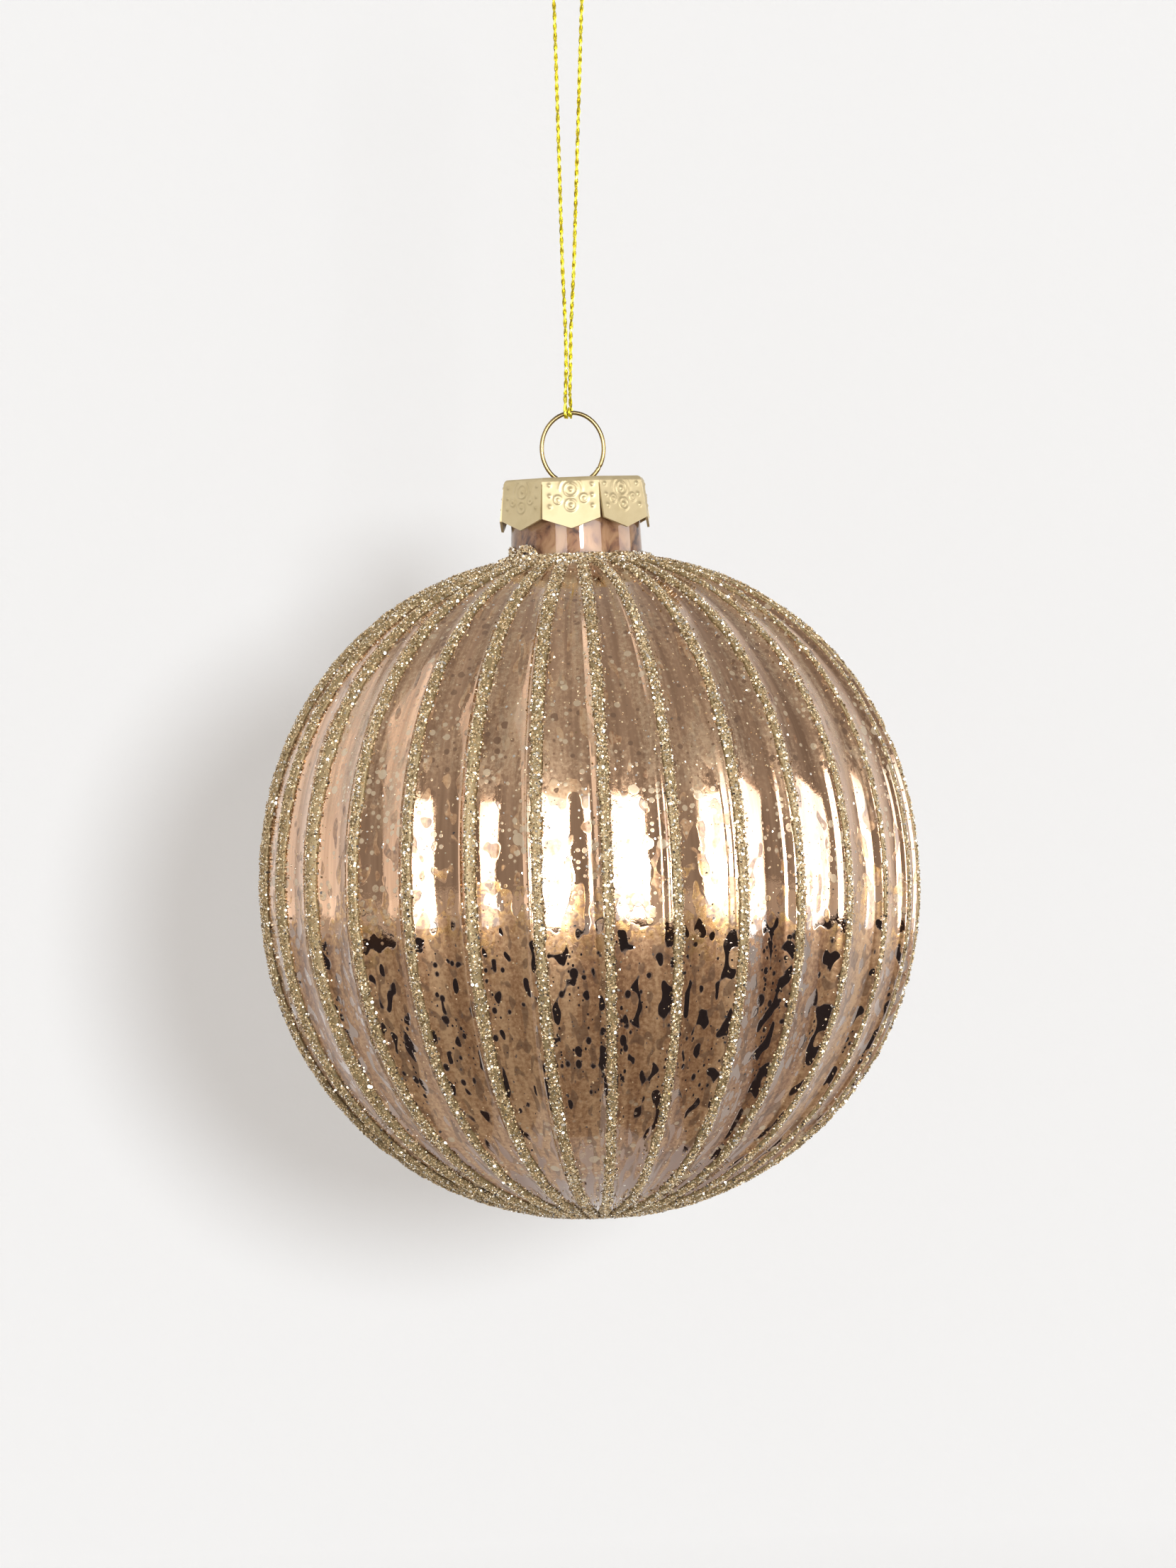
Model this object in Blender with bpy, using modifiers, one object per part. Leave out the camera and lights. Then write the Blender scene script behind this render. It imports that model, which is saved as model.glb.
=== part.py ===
"""Ribbed mercury-glass ball ornament with glitter ribs, a crown cap and a hanging cord."""

import math

import bmesh
import bpy
from mathutils import Vector

MM = 0.001
CLEARANCE = 0.3 * MM                # free space between neighbouring pieces

# Glass ball: sizes are measured from its widest line, to the crests of its ribs
BALL_RADIUS = 49.2 * MM
SHOULDER_HEIGHT = 50.1 * MM         # widest line up to the pole that the neck covers
BASE_DEPTH = 49.0 * MM              # widest line down to the bottom pole
SHOULDER_FULLNESS = 2.15            # power of the upper outline, where 2 is a true ellipse
BASE_FULLNESS = 2.05
GLASS_WALL = 0.9 * MM
FLUTES = 30
FLUTE_DEPTH = 1.1 * MM              # hollow between two crests at the widest line
FLUTE_FADE = (10.8 * MM, 15.0 * MM)  # the hollows start between these radii, past the neck
FIRST_CREST_ANGLE = math.radians(2.8)  # right of the middle, seen from the front

# Neck
NECK_RADIUS = 9.84 * MM
NECK_RIM_RADIUS = 9.5 * MM
NECK_RIM_BEVEL = 0.4 * MM
NECK_WALL = 1.2 * MM
NECK_FOOT_HEIGHT = 51.0 * MM        # where the neck starts to flare into the shoulder
NECK_FOOT_LATITUDE = 78.4           # where that flare has become the shoulder

# Glitter laid along the ribs
GLITTER_HALF_WIDTH = 0.85 * MM
GLITTER_HEIGHT = 0.45 * MM
GLITTER_SHOULDER = 0.55             # where the bead's rounded top starts, across its half width
GLITTER_CROWDING = 0.35             # most of the space between ribs that a half bead takes
GLITTER_TOP_LATITUDE = 76.0
COLLAR_LATITUDES = (78.6, 77.9, 77.2, 76.7)
BASE_PATCH_LATITUDES = (-82.2, -84.5, -87.0)

# Crown cap: an eight-sided cup folded from thin sheet
CAP_HEIGHT_ABOVE_BALL = 61.7 * MM   # flat top, from the ball's widest line
CAP_SIDES = 8
CAP_TOP_REACH = 10.27 * MM          # axis to the middle of a side
CAP_BASE_REACH = 11.2 * MM
CAP_SHEET = 0.35 * MM
CAP_EDGE_RADIUS = 0.6 * MM
CAP_TURN = math.radians(-3.0)       # front petal, left of the middle
PETAL_SIDE = 6.2 * MM               # cap top down to the corner of a petal
PETAL_TIP = 7.7 * MM                # cap top down to the point of a petal
SLIT_TOP = 1.0 * MM
SLIT_WIDTHS = (0.18 * MM, 0.42 * MM)  # between petals, at the top and at the corners

# Hanger: one wire bent to a ring, whose two legs go through the cap and spring apart in the neck
WIRE_RADIUS = 0.33 * MM
RING_HALF_WIDTH = 4.65 * MM         # the ring is an upright oval; to the middle of the wire
RING_HALF_HEIGHT = 5.36 * MM
RING_RISE = 10.2 * MM               # cap top to the top of the ring
RING_OPENING = math.radians(50.0)   # the legs leave the oval this far below its middle
LEG_HOLE_X = 2.45 * MM
LEG_HOLE_RADIUS = 0.75 * MM
LEG_ROUTE = (                       # right leg below the cap: x, z from the cap's top
    (2.54 * MM, 0.0 * MM),
    (2.30 * MM, -0.8 * MM),
    (2.75 * MM, -2.6 * MM),
    (4.60 * MM, -6.2 * MM),
    (6.70 * MM, -9.8 * MM),
    (7.45 * MM, -13.0 * MM),
    (7.50 * MM, -16.8 * MM),
    (7.00 * MM, -19.5 * MM),
)

# Cord: a loop of metallic thread, hitched on the ring and knotted at its upper end
CORD_DIAMETER = 0.60 * MM
CORD_DROP = 69.0 * MM               # eye of the loop down to the ring's wire
CORD_LEAN = math.radians(2.07)      # the cord's top leans right of the ball's axis
HITCH_ANGLE = math.radians(5.7)     # the hitch sits left of the ring's top
HITCH_PITCH = 1.14 * MM
HITCH_TURNS = 1.5
HITCH_TOP = 2.5 * MM                # ring's wire up to where the two strands start
STRAND_HALF_GAP = 0.52 * MM         # between the strands' middles just above the hitch
HITCH_ENDS = (                      # from a strand down to the first turn: across, depth, height
    (0.80 * MM, 0.52 * MM, 1.8 * MM),
    (0.92 * MM, 0.96 * MM, 0.8 * MM),
)
STRAND_ROUTE = (                    # half the space between strands, depth, height from the eye
    (0.50 * MM, 0.00 * MM, 0.30 * MM),
    (1.20 * MM, 0.02 * MM, -0.35 * MM),
    (1.92 * MM, 0.04 * MM, -1.50 * MM),
    (2.26 * MM, 0.05 * MM, -3.20 * MM),
    (2.20 * MM, 0.04 * MM, -5.40 * MM),
    (2.05 * MM, 0.02 * MM, -8.40 * MM),
    (1.90 * MM, -0.02 * MM, -13.0 * MM),
    (1.73 * MM, -0.05 * MM, -18.5 * MM),
    (1.56 * MM, -0.06 * MM, -24.0 * MM),
    (1.39 * MM, -0.04 * MM, -29.5 * MM),
    (1.22 * MM, 0.00 * MM, -35.0 * MM),
    (1.06 * MM, 0.04 * MM, -40.5 * MM),
    (0.90 * MM, 0.06 * MM, -46.0 * MM),
    (0.70 * MM, 0.05 * MM, -51.5 * MM),
    (0.55 * MM, 0.02 * MM, -57.0 * MM),
    (0.50 * MM, 0.00 * MM, -62.0 * MM),
)
KNOT_HALF_SIZE = (0.95 * MM, 0.8 * MM, 1.1 * MM)
KNOT_HEIGHT = 2.05 * MM
TAIL_ROUTE = ((0.30, 1.9), (0.62, 3.6), (1.15, 5.2), (1.45, 6.4))  # across and up, in mm

# Facets
BALL_LATITUDES = (76, 65, 52, 39, 26, 13, 0, -13, -26, -39, -52, -65, -75, -81.5)
FACETS_PER_FLUTE = 4
HOLLOW_FACETS_PER_FLUTE = 2

# Places that follow from the sizes above; the origin is the eye of the cord's loop
HITCH = Vector((-CORD_DROP * math.tan(CORD_LEAN), 0.0, -CORD_DROP))
RING_CENTRE = HITCH + Vector((RING_HALF_WIDTH * math.sin(HITCH_ANGLE), 0.0,
                              -RING_HALF_HEIGHT * math.cos(HITCH_ANGLE)))
HITCH_SLOPE = RING_HALF_HEIGHT / RING_HALF_WIDTH * math.tan(HITCH_ANGLE)  # of the ring's wire at the hitch
RING_ABOVE_CAP = RING_RISE - RING_HALF_HEIGHT - WIRE_RADIUS
CAP_TOP = RING_CENTRE - Vector((0.0, 0.0, RING_ABOVE_CAP))
BALL_CENTRE = CAP_TOP - Vector((0.0, 0.0, CAP_HEIGHT_ABOVE_BALL))
RIM_HEIGHT = CAP_HEIGHT_ABOVE_BALL - CAP_SHEET - CLEARANCE
FRONT = math.radians(-90.0)


def clear_scene():
    for item in list(bpy.data.objects):
        bpy.data.objects.remove(item, do_unlink=True)


def new_collection(name):
    collection = bpy.data.collections.new(name)
    bpy.context.scene.collection.children.link(collection)
    return collection


def new_material(name, colour, metallic, roughness):
    material = bpy.data.materials.new(name)
    material.use_nodes = True
    shader = material.node_tree.nodes["Principled BSDF"]
    shader.inputs["Base Color"].default_value = (*colour, 1.0)
    shader.inputs["Metallic"].default_value = metallic
    shader.inputs["Roughness"].default_value = roughness
    return material


def new_pivot(name, location, parent=None):
    """An empty on a joint's axis, placed in the frame of its parent."""
    pivot = bpy.data.objects.new(name, None)
    pivot.empty_display_size = 5 * MM
    PARTS.objects.link(pivot)
    pivot.parent = parent
    pivot.location = location
    return pivot


def new_part(name, mesh, material, parent, turn=0.0):
    part = bpy.data.objects.new(name, mesh)
    if not mesh.materials:
        mesh.materials.append(material)
    PARTS.objects.link(part)
    part.parent = parent
    part.rotation_euler.z = turn
    return part


def new_cutter(name, data, parent, location=(0.0, 0.0, 0.0), turn=0.0):
    cutter = bpy.data.objects.new(name, data)
    CUTTERS.objects.link(cutter)
    cutter.parent = parent
    cutter.location = location
    cutter.rotation_euler.z = turn
    cutter.hide_render = True
    cutter.display_type = "WIRE"
    return cutter


def subtract(part, cutter):
    boolean = part.modifiers.new("cut_" + cutter.name, "BOOLEAN")
    boolean.operation = "DIFFERENCE"
    boolean.object = cutter


def clean_mesh(mesh, smooth_angle=math.radians(35.0)):
    """Weld loose seams, point the faces out and shade the round stretches smooth."""
    shape = bmesh.new()
    shape.from_mesh(mesh)
    bmesh.ops.remove_doubles(shape, verts=shape.verts, dist=0.001 * MM)
    bmesh.ops.recalc_face_normals(shape, faces=shape.faces)
    shape.to_mesh(mesh)
    shape.free()
    mesh.shade_smooth()
    mesh.set_sharp_from_angle(angle=smooth_angle)
    return mesh


def evaluated_mesh(name, data, modify=None):
    """The mesh that a curve or a modified mesh becomes; the helper object is removed."""
    helper = bpy.data.objects.new(name, data)
    CUTTERS.objects.link(helper)
    if modify:
        modify(helper)
    graph = bpy.context.evaluated_depsgraph_get()
    mesh = bpy.data.meshes.new_from_object(helper.evaluated_get(graph))
    mesh.name = name
    bpy.data.objects.remove(helper, do_unlink=True)
    return clean_mesh(mesh)


def profile_mesh(name, profile, closed=False):
    """A polyline of (radius, height) points in the XZ plane."""
    mesh = bpy.data.meshes.new(name)
    count = len(profile)
    edges = [(i, i + 1) for i in range(count - 1)]
    if closed:
        edges.append((count - 1, 0))
    mesh.from_pydata([(radius, 0.0, height) for radius, height in profile], edges, [])
    return mesh


def add_screw(item, steps):
    screw = item.modifiers.new("turn", "SCREW")
    screw.axis = "Z"
    screw.angle = 2.0 * math.pi
    screw.steps = steps
    screw.render_steps = steps
    screw.use_merge_vertices = True
    screw.merge_threshold = 0.01 * MM


def turned_mesh(name, profile, steps, closed=False):
    return evaluated_mesh(name, profile_mesh(name, profile, closed), lambda item: add_screw(item, steps))


def tube_mesh(name, points, radius, resolution):
    """A round wire or cord along the points, with closed ends."""
    curve = bpy.data.curves.new(name, "CURVE")
    curve.dimensions = "3D"
    curve.bevel_depth = radius
    curve.bevel_resolution = resolution
    curve.use_fill_caps = True
    spline = curve.splines.new("POLY")
    spline.points.add(len(points) - 1)
    for knot, point in zip(spline.points, points):
        knot.co = (*point, 1.0)
    return evaluated_mesh(name, curve)


def prism_mesh(name, outline, half_depth):
    """A flat outline of (x, y) points, given thickness along Z."""
    curve = bpy.data.curves.new(name, "CURVE")
    curve.dimensions = "2D"
    curve.fill_mode = "BOTH"
    curve.extrude = half_depth
    spline = curve.splines.new("POLY")
    spline.points.add(len(outline) - 1)
    for knot, (across, up) in zip(spline.points, outline):
        knot.co = (across, up, 0.0, 1.0)
    spline.use_cyclic_u = True
    return evaluated_mesh(name, curve)


def lofted_mesh(name, sections):
    """A closed body through sections of the same number of points."""
    shape = bmesh.new()
    loops = [[shape.verts.new(point) for point in section] for section in sections]
    sides = len(sections[0])
    for lower, upper in zip(loops, loops[1:]):
        for i in range(sides):
            j = (i + 1) % sides
            shape.faces.new((lower[i], lower[j], upper[j], upper[i]))
    shape.faces.new(loops[0])
    shape.faces.new(loops[-1])
    mesh = bpy.data.meshes.new(name)
    shape.to_mesh(mesh)
    shape.free()
    return clean_mesh(mesh)


def smooth_route(points, count):
    """Evenly spaced points on a smooth curve through the route's own points."""
    route = [Vector(point) for point in points]
    route = [2 * route[0] - route[1]] + route + [2 * route[-1] - route[-2]]
    fine = []
    for a, b, c, d in zip(route, route[1:], route[2:], route[3:]):
        for step in range(24):
            t = step / 24
            fine.append(0.5 * (2 * b + (c - a) * t + (2 * a - 5 * b + 4 * c - d) * t ** 2
                               + (3 * b - a - 3 * c + d) * t ** 3))
    fine.append(route[-2])
    reach = [0.0]
    for start, end in zip(fine, fine[1:]):
        reach.append(reach[-1] + (end - start).length)
    spaced = []
    i = 0
    for k in range(count):
        target = reach[-1] * k / (count - 1)
        while i < len(fine) - 2 and reach[i + 1] < target:
            i += 1
        share = (target - reach[i]) / (reach[i + 1] - reach[i])
        spaced.append(fine[i].lerp(fine[i + 1], min(share, 1.0)))
    return spaced


def bend(start, corner, end, count):
    """Points of a round bend between two stretches that would meet at a corner."""
    start, corner, end = Vector(start), Vector(corner), Vector(end)
    points = []
    for k in range(count):
        t = k / (count - 1)
        points.append(tuple((1 - t) ** 2 * start + 2 * t * (1 - t) * corner + t ** 2 * end))
    return points


def crest_point(latitude, inset=0.0):
    """(radius, height) on the ball's outline, or on one set in from it."""
    angle = math.radians(latitude)
    if latitude > 0:
        height, power = SHOULDER_HEIGHT - inset, 2.0 / SHOULDER_FULLNESS
    else:
        height, power = BASE_DEPTH - inset, 2.0 / BASE_FULLNESS
    rise = math.copysign(abs(math.sin(angle)) ** power, latitude)
    return (BALL_RADIUS - inset) * math.cos(angle) ** power, height * rise


def lifted_point(latitude, lift):
    """(radius, height) at a distance out from the ball's outline, square to it."""
    step = 0.05
    before = Vector(crest_point(latitude + step))
    after = Vector(crest_point(latitude - step))
    along = (after - before).normalized()
    out = Vector((-along.y, along.x))
    if out.dot(Vector(crest_point(latitude))) < 0:
        out = -out
    return tuple(Vector(crest_point(latitude)) + lift * out)


def press_flutes(mesh):
    """Hollow the ball between its rib crests; the hollows shrink towards both poles."""
    start, full = FLUTE_FADE
    for vertex in mesh.vertices:
        radius = math.hypot(vertex.co.x, vertex.co.y)
        if radius <= start and vertex.co.z > 0:
            continue
        fade = 1.0
        if vertex.co.z > 0:
            fade = min((radius - start) / (full - start), 1.0)
        across = math.atan2(vertex.co.y, vertex.co.x) / (2 * math.pi) * FLUTES % 1.0
        hollow = 4 * across * (1 - across)
        vertex.co -= vertex.co.normalized() * (FLUTE_DEPTH * hollow * fade * radius / BALL_RADIUS)
    mesh.update()


def make_glass_ball(parent):
    foot = crest_point(NECK_FOOT_LATITUDE)
    outside = [(0.0, RIM_HEIGHT), (NECK_RIM_RADIUS - NECK_RIM_BEVEL, RIM_HEIGHT)]
    outside.append((NECK_RIM_RADIUS, RIM_HEIGHT - NECK_RIM_BEVEL))
    outside += bend((NECK_RADIUS, NECK_FOOT_HEIGHT), (NECK_RADIUS, foot[1] + 0.15 * MM), foot, 3)
    outside += [crest_point(latitude) for latitude in BALL_LATITUDES]
    outside.append((0.0, -BASE_DEPTH))
    mesh = turned_mesh("glass_ball", outside, FLUTES * FACETS_PER_FLUTE)
    press_flutes(mesh)
    turn = FRONT + FIRST_CREST_ANGLE
    glass = new_part("glass_ball", mesh, GLASS, parent, turn)

    bore = NECK_RADIUS - NECK_WALL
    inner_foot = crest_point(NECK_FOOT_LATITUDE, GLASS_WALL)
    above_rim = RIM_HEIGHT + 2 * MM
    inside = [(0.0, above_rim), (NECK_RIM_RADIUS - NECK_WALL, above_rim)]
    inside += bend((bore, NECK_FOOT_HEIGHT), (bore, inner_foot[1] + 0.15 * MM), inner_foot, 3)
    inside += [crest_point(latitude, GLASS_WALL) for latitude in BALL_LATITUDES]
    inside.append((0.0, GLASS_WALL - BASE_DEPTH))
    hollow = turned_mesh("ball_hollow", inside, FLUTES * HOLLOW_FACETS_PER_FLUTE)
    press_flutes(hollow)
    subtract(glass, new_cutter("ball_hollow", hollow, parent, turn=turn))


def glitter_section(latitude):
    """Across one bead of glitter: a rounded ridge that sits astride the sharp rib."""
    crest_radius = crest_point(latitude)[0]
    rib_spacing = 2 * math.pi * crest_radius / FLUTES
    width = min(GLITTER_HALF_WIDTH, GLITTER_CROWDING * rib_spacing)
    flank = 4 * FLUTE_DEPTH / (2 * math.pi * BALL_RADIUS / FLUTES)
    outline = (
        (-width, -flank * width),
        (-GLITTER_SHOULDER * width, GLITTER_HEIGHT),
        (GLITTER_SHOULDER * width, GLITTER_HEIGHT),
        (width, -flank * width),
        (0.0, 0.0),
    )
    section = []
    for across, lift in outline:
        radius, height = lifted_point(latitude, CLEARANCE + lift)
        section.append((radius, across, height))
    return section


def make_glitter(parent):
    latitudes = [GLITTER_TOP_LATITUDE] + [lat for lat in BALL_LATITUDES if lat < GLITTER_TOP_LATITUDE]
    line = lofted_mesh("glitter_line", [glitter_section(latitude) for latitude in latitudes])
    for k in range(FLUTES):
        turn = FRONT + FIRST_CREST_ANGLE + 2 * math.pi * k / FLUTES
        new_part(f"glitter_line_{k + 1:02d}", line, GLITTER, parent, turn)

    under = [lifted_point(latitude, CLEARANCE) for latitude in COLLAR_LATITUDES]
    over = [lifted_point(latitude, CLEARANCE + GLITTER_HEIGHT) for latitude in COLLAR_LATITUDES[1:-1]]
    collar = turned_mesh("glitter_collar", under + over[::-1], FLUTES, closed=True)
    new_part("glitter_collar", collar, GLITTER, parent)

    under = [(0.0, -BASE_DEPTH - CLEARANCE)]
    under += [lifted_point(latitude, CLEARANCE) for latitude in BASE_PATCH_LATITUDES[::-1]]
    over = [lifted_point(latitude, CLEARANCE + GLITTER_HEIGHT) for latitude in BASE_PATCH_LATITUDES[1:]]
    over.append((0.0, -BASE_DEPTH - CLEARANCE - GLITTER_HEIGHT))
    new_part("glitter_base", turned_mesh("glitter_base", under + over, FLUTES), GLITTER, parent)


def make_crown_cap(parent):
    """An eight-sided cup: turned in eight steps, thickened, then slit and pointed at each corner."""
    corner = 1.0 / math.cos(math.pi / CAP_SIDES)
    skirt = PETAL_TIP + 0.6 * MM
    top = CAP_TOP_REACH * corner
    flare = (CAP_BASE_REACH - CAP_TOP_REACH) * corner / PETAL_TIP
    edge_end = (top + flare * CAP_EDGE_RADIUS, -CAP_EDGE_RADIUS)
    edge = bend((top - CAP_EDGE_RADIUS, 0.0), (top, 0.0), edge_end, 4)
    profile = [(0.0, 0.0), *edge, (top + flare * skirt, -skirt)]
    turn = FRONT + CAP_TURN - math.pi / CAP_SIDES
    cap = new_part("crown_cap", profile_mesh("crown_cap", profile), CAP_BRASS, parent, turn)
    add_screw(cap, CAP_SIDES)
    sheet = cap.modifiers.new("sheet", "SOLIDIFY")
    sheet.thickness = CAP_SHEET
    sheet.offset = -1.0

    half_side = CAP_BASE_REACH * math.tan(math.pi / CAP_SIDES) * math.cos(math.pi / CAP_SIDES)
    slope = (PETAL_TIP - PETAL_SIDE) / half_side
    past_tip = half_side + 1.0 * MM
    right = [
        (SLIT_WIDTHS[0] / 2, -SLIT_TOP),
        (SLIT_WIDTHS[1] / 2, -PETAL_SIDE),
        (past_tip, -PETAL_SIDE - slope * past_tip),
        (past_tip, -PETAL_TIP - 3 * MM),
    ]
    left = [(-across, up) for across, up in reversed(right)]
    notch = prism_mesh("petal_notch", right + left, 2.5 * MM)
    for k in range(CAP_SIDES):
        angle = turn + 2 * math.pi * k / CAP_SIDES
        reach = 11.5 * MM
        place = (reach * math.cos(angle), reach * math.sin(angle), 0.0)
        cutter = new_cutter(f"petal_notch_{k + 1}", notch, parent, place, angle + math.pi / 2)
        cutter.rotation_euler.x = math.pi / 2
        subtract(cap, cutter)

    for side, name in ((-1, "left"), (1, "right")):
        bpy.ops.mesh.primitive_cylinder_add(vertices=16, radius=LEG_HOLE_RADIUS, depth=4 * CAP_SHEET)
        drill = bpy.context.object
        hole = new_cutter(f"leg_hole_{name}", drill.data, parent, (side * LEG_HOLE_X, 0.0, -CAP_SHEET / 2))
        bpy.data.objects.remove(drill, do_unlink=True)
        subtract(cap, hole)


def make_hanger_wire(parent):
    """Half of the wire runs from the ring's top down the right leg; the other half mirrors it."""
    arc_steps = 14
    half = []
    for k in range(arc_steps + 1):
        angle = math.pi / 2 - (math.pi / 2 + RING_OPENING) * k / arc_steps
        across = RING_HALF_WIDTH * math.cos(angle)
        up = RING_HALF_HEIGHT * math.sin(angle)
        half.append((across, 0.0, RING_ABOVE_CAP + up))
    leg = smooth_route([half[-1]] + [(x, 0.0, z) for x, z in LEG_ROUTE], 15)
    half += [tuple(point) for point in leg[1:]]
    mirrored = [(-x, y, z) for x, y, z in reversed(half[1:])]
    mesh = tube_mesh("hanger_wire", mirrored + half, WIRE_RADIUS, 2)
    new_part("hanger_wire", mesh, WIRE_BRASS, parent)


def strand_points(side):
    """One strand from the knot down to the hitch; side is -1 for left and 1 for right."""
    route = []
    for half_gap, depth, height in STRAND_ROUTE:
        route.append((side * half_gap + height * math.tan(CORD_LEAN), side * depth, height))
    foot = HITCH.z + HITCH_TOP + CLEARANCE
    route.append((HITCH.x + side * STRAND_HALF_GAP, 0.0, foot))
    return route


def hitch_points():
    """The turns round the ring's wire, with both ends brought up to the two strands."""
    winding_radius = WIRE_RADIUS + CLEARANCE + CORD_DIAMETER / 2
    half_width = HITCH_PITCH * HITCH_TURNS / 2
    first_end = [(-STRAND_HALF_GAP, 0.0, HITCH_TOP)]
    first_end += [(-across, -depth, up) for across, depth, up in HITCH_ENDS]
    turns = []
    steps = 18
    for k in range(steps + 1):
        share = k / steps
        angle = math.pi / 2 + 2 * math.pi * HITCH_TURNS * share
        along = half_width * (2 * share - 1)
        up = winding_radius * math.cos(angle) + along * HITCH_SLOPE
        turns.append((along, -winding_radius * math.sin(angle), up))
    last_end = [(-x, -y, z) for x, y, z in reversed(first_end)]
    return smooth_route(first_end + turns + last_end, 44)


def least_gap(points, diameter):
    """Smallest free space between stretches of a cord that aren't neighbours along it."""
    reach = [0.0]
    for start, end in zip(points, points[1:]):
        reach.append(reach[-1] + (end - start).length)
    gap = math.inf
    for i, first in enumerate(points):
        for j in range(i + 1, len(points)):
            if reach[j] - reach[i] > 4 * diameter:
                gap = min(gap, (points[j] - first).length - diameter)
    return gap


def make_cord(eye, hitch):
    for side, name in ((-1, "left"), (1, "right")):
        points = smooth_route(strand_points(side), 32)
        mesh = tube_mesh(f"cord_strand_{name}", points, CORD_DIAMETER / 2, 2)
        new_part(f"cord_strand_{name}", mesh, CORD, eye)

    turns = hitch_points()
    print(f"cord_hitch: least gap to itself {least_gap(turns, CORD_DIAMETER) / MM:.2f} mm")
    new_part("cord_hitch", tube_mesh("cord_hitch", turns, CORD_DIAMETER / 2, 1), CORD, hitch)

    bpy.ops.mesh.primitive_uv_sphere_add(segments=16, ring_count=10, radius=1.0)
    bead = bpy.context.object
    knot_mesh = bead.data
    bpy.data.objects.remove(bead, do_unlink=True)
    for vertex in knot_mesh.vertices:
        vertex.co = [centre * size for centre, size in zip(vertex.co, KNOT_HALF_SIZE)]
        vertex.co.z += KNOT_HEIGHT
    knot_mesh.name = "cord_knot"
    knot = new_part("cord_knot", clean_mesh(knot_mesh), CORD, eye)
    for side, name in ((-1, "left"), (1, "right")):
        route = [(side * across * MM, side * 0.2 * MM, up * MM) for across, up in TAIL_ROUTE]
        tail = tube_mesh(f"tail_{name}", smooth_route(route, 8), CORD_DIAMETER / 2, 2)
        union = knot.modifiers.new(f"tail_{name}", "BOOLEAN")
        union.operation = "UNION"
        union.object = new_cutter(f"tail_{name}", tail, eye)


clear_scene()
PARTS = new_collection("glass_ball_ornament")
CUTTERS = new_collection("cutters")
GLASS = new_material("silvered_copper_glass", (0.42, 0.27, 0.18), 0.85, 0.12)
GLITTER = new_material("gold_glitter", (0.55, 0.43, 0.24), 0.7, 0.45)
CAP_BRASS = new_material("pale_brass_sheet", (0.78, 0.66, 0.38), 1.0, 0.3)
WIRE_BRASS = new_material("antique_brass_wire", (0.48, 0.36, 0.17), 1.0, 0.28)
CORD = new_material("gold_metallic_thread", (0.80, 0.62, 0.08), 0.6, 0.4)

eye_of_loop = new_pivot("eye_of_loop", (0.0, 0.0, 0.0))
hitch_pivot = new_pivot("hitch_pivot", HITCH, eye_of_loop)
cap_pivot = new_pivot("cap_pivot", CAP_TOP - HITCH, hitch_pivot)
ball_pivot = new_pivot("ball_pivot", BALL_CENTRE - CAP_TOP, cap_pivot)
bpy.context.view_layer.update()

make_glass_ball(ball_pivot)
make_glitter(ball_pivot)
make_crown_cap(cap_pivot)
make_hanger_wire(cap_pivot)
make_cord(eye_of_loop, hitch_pivot)
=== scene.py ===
"""Looks of the ribbed mercury-glass ball ornament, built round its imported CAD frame."""

from functools import partialmethod
from math import cos, pi, radians, sin, tan

import bmesh
import bpy
import numpy as np
from mathutils import Matrix, Vector


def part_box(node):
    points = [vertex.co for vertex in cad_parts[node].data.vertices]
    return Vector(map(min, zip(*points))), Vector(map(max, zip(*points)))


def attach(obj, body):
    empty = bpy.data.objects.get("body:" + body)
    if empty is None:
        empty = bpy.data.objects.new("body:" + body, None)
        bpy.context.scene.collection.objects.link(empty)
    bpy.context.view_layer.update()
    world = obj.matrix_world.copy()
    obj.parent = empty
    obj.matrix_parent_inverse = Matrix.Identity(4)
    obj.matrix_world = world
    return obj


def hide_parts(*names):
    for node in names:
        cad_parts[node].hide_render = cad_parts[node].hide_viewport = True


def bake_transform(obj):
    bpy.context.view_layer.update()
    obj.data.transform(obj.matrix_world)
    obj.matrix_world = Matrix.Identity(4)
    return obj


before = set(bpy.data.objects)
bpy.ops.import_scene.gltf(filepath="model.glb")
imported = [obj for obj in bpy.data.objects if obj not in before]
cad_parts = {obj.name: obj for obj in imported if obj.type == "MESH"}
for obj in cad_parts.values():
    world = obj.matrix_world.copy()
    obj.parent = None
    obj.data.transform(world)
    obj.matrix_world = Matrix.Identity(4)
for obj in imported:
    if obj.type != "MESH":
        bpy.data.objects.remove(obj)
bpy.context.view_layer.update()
MM = 0.001
TURN = 2 * pi
rng = np.random.default_rng(7)

# Glass ball, after the CAD source: measured from its widest line, to the crests of its ribs
BALL_RADIUS = 49.2 * MM
SHOULDER_HEIGHT = 50.1 * MM
BASE_DEPTH = 49.0 * MM
SHOULDER_FULLNESS = 2.15
BASE_FULLNESS = 2.05
GLASS_WALL = 0.9 * MM
FLUTES = 30
FLUTE_DEPTH = 1.1 * MM
FLUTE_FADE = (10.8 * MM, 15.0 * MM)  # the hollows start between these radii, past the neck
FIRST_CREST = radians(-90.0 + 2.8)
NECK_RADIUS = 9.84 * MM
NECK_RIM_RADIUS = 9.5 * MM
NECK_RIM_ROUND = 0.5 * MM
NECK_WALL = 1.2 * MM
NECK_FOOT_HEIGHT = 51.0 * MM
NECK_FOOT_LATITUDE = 78.4

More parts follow.
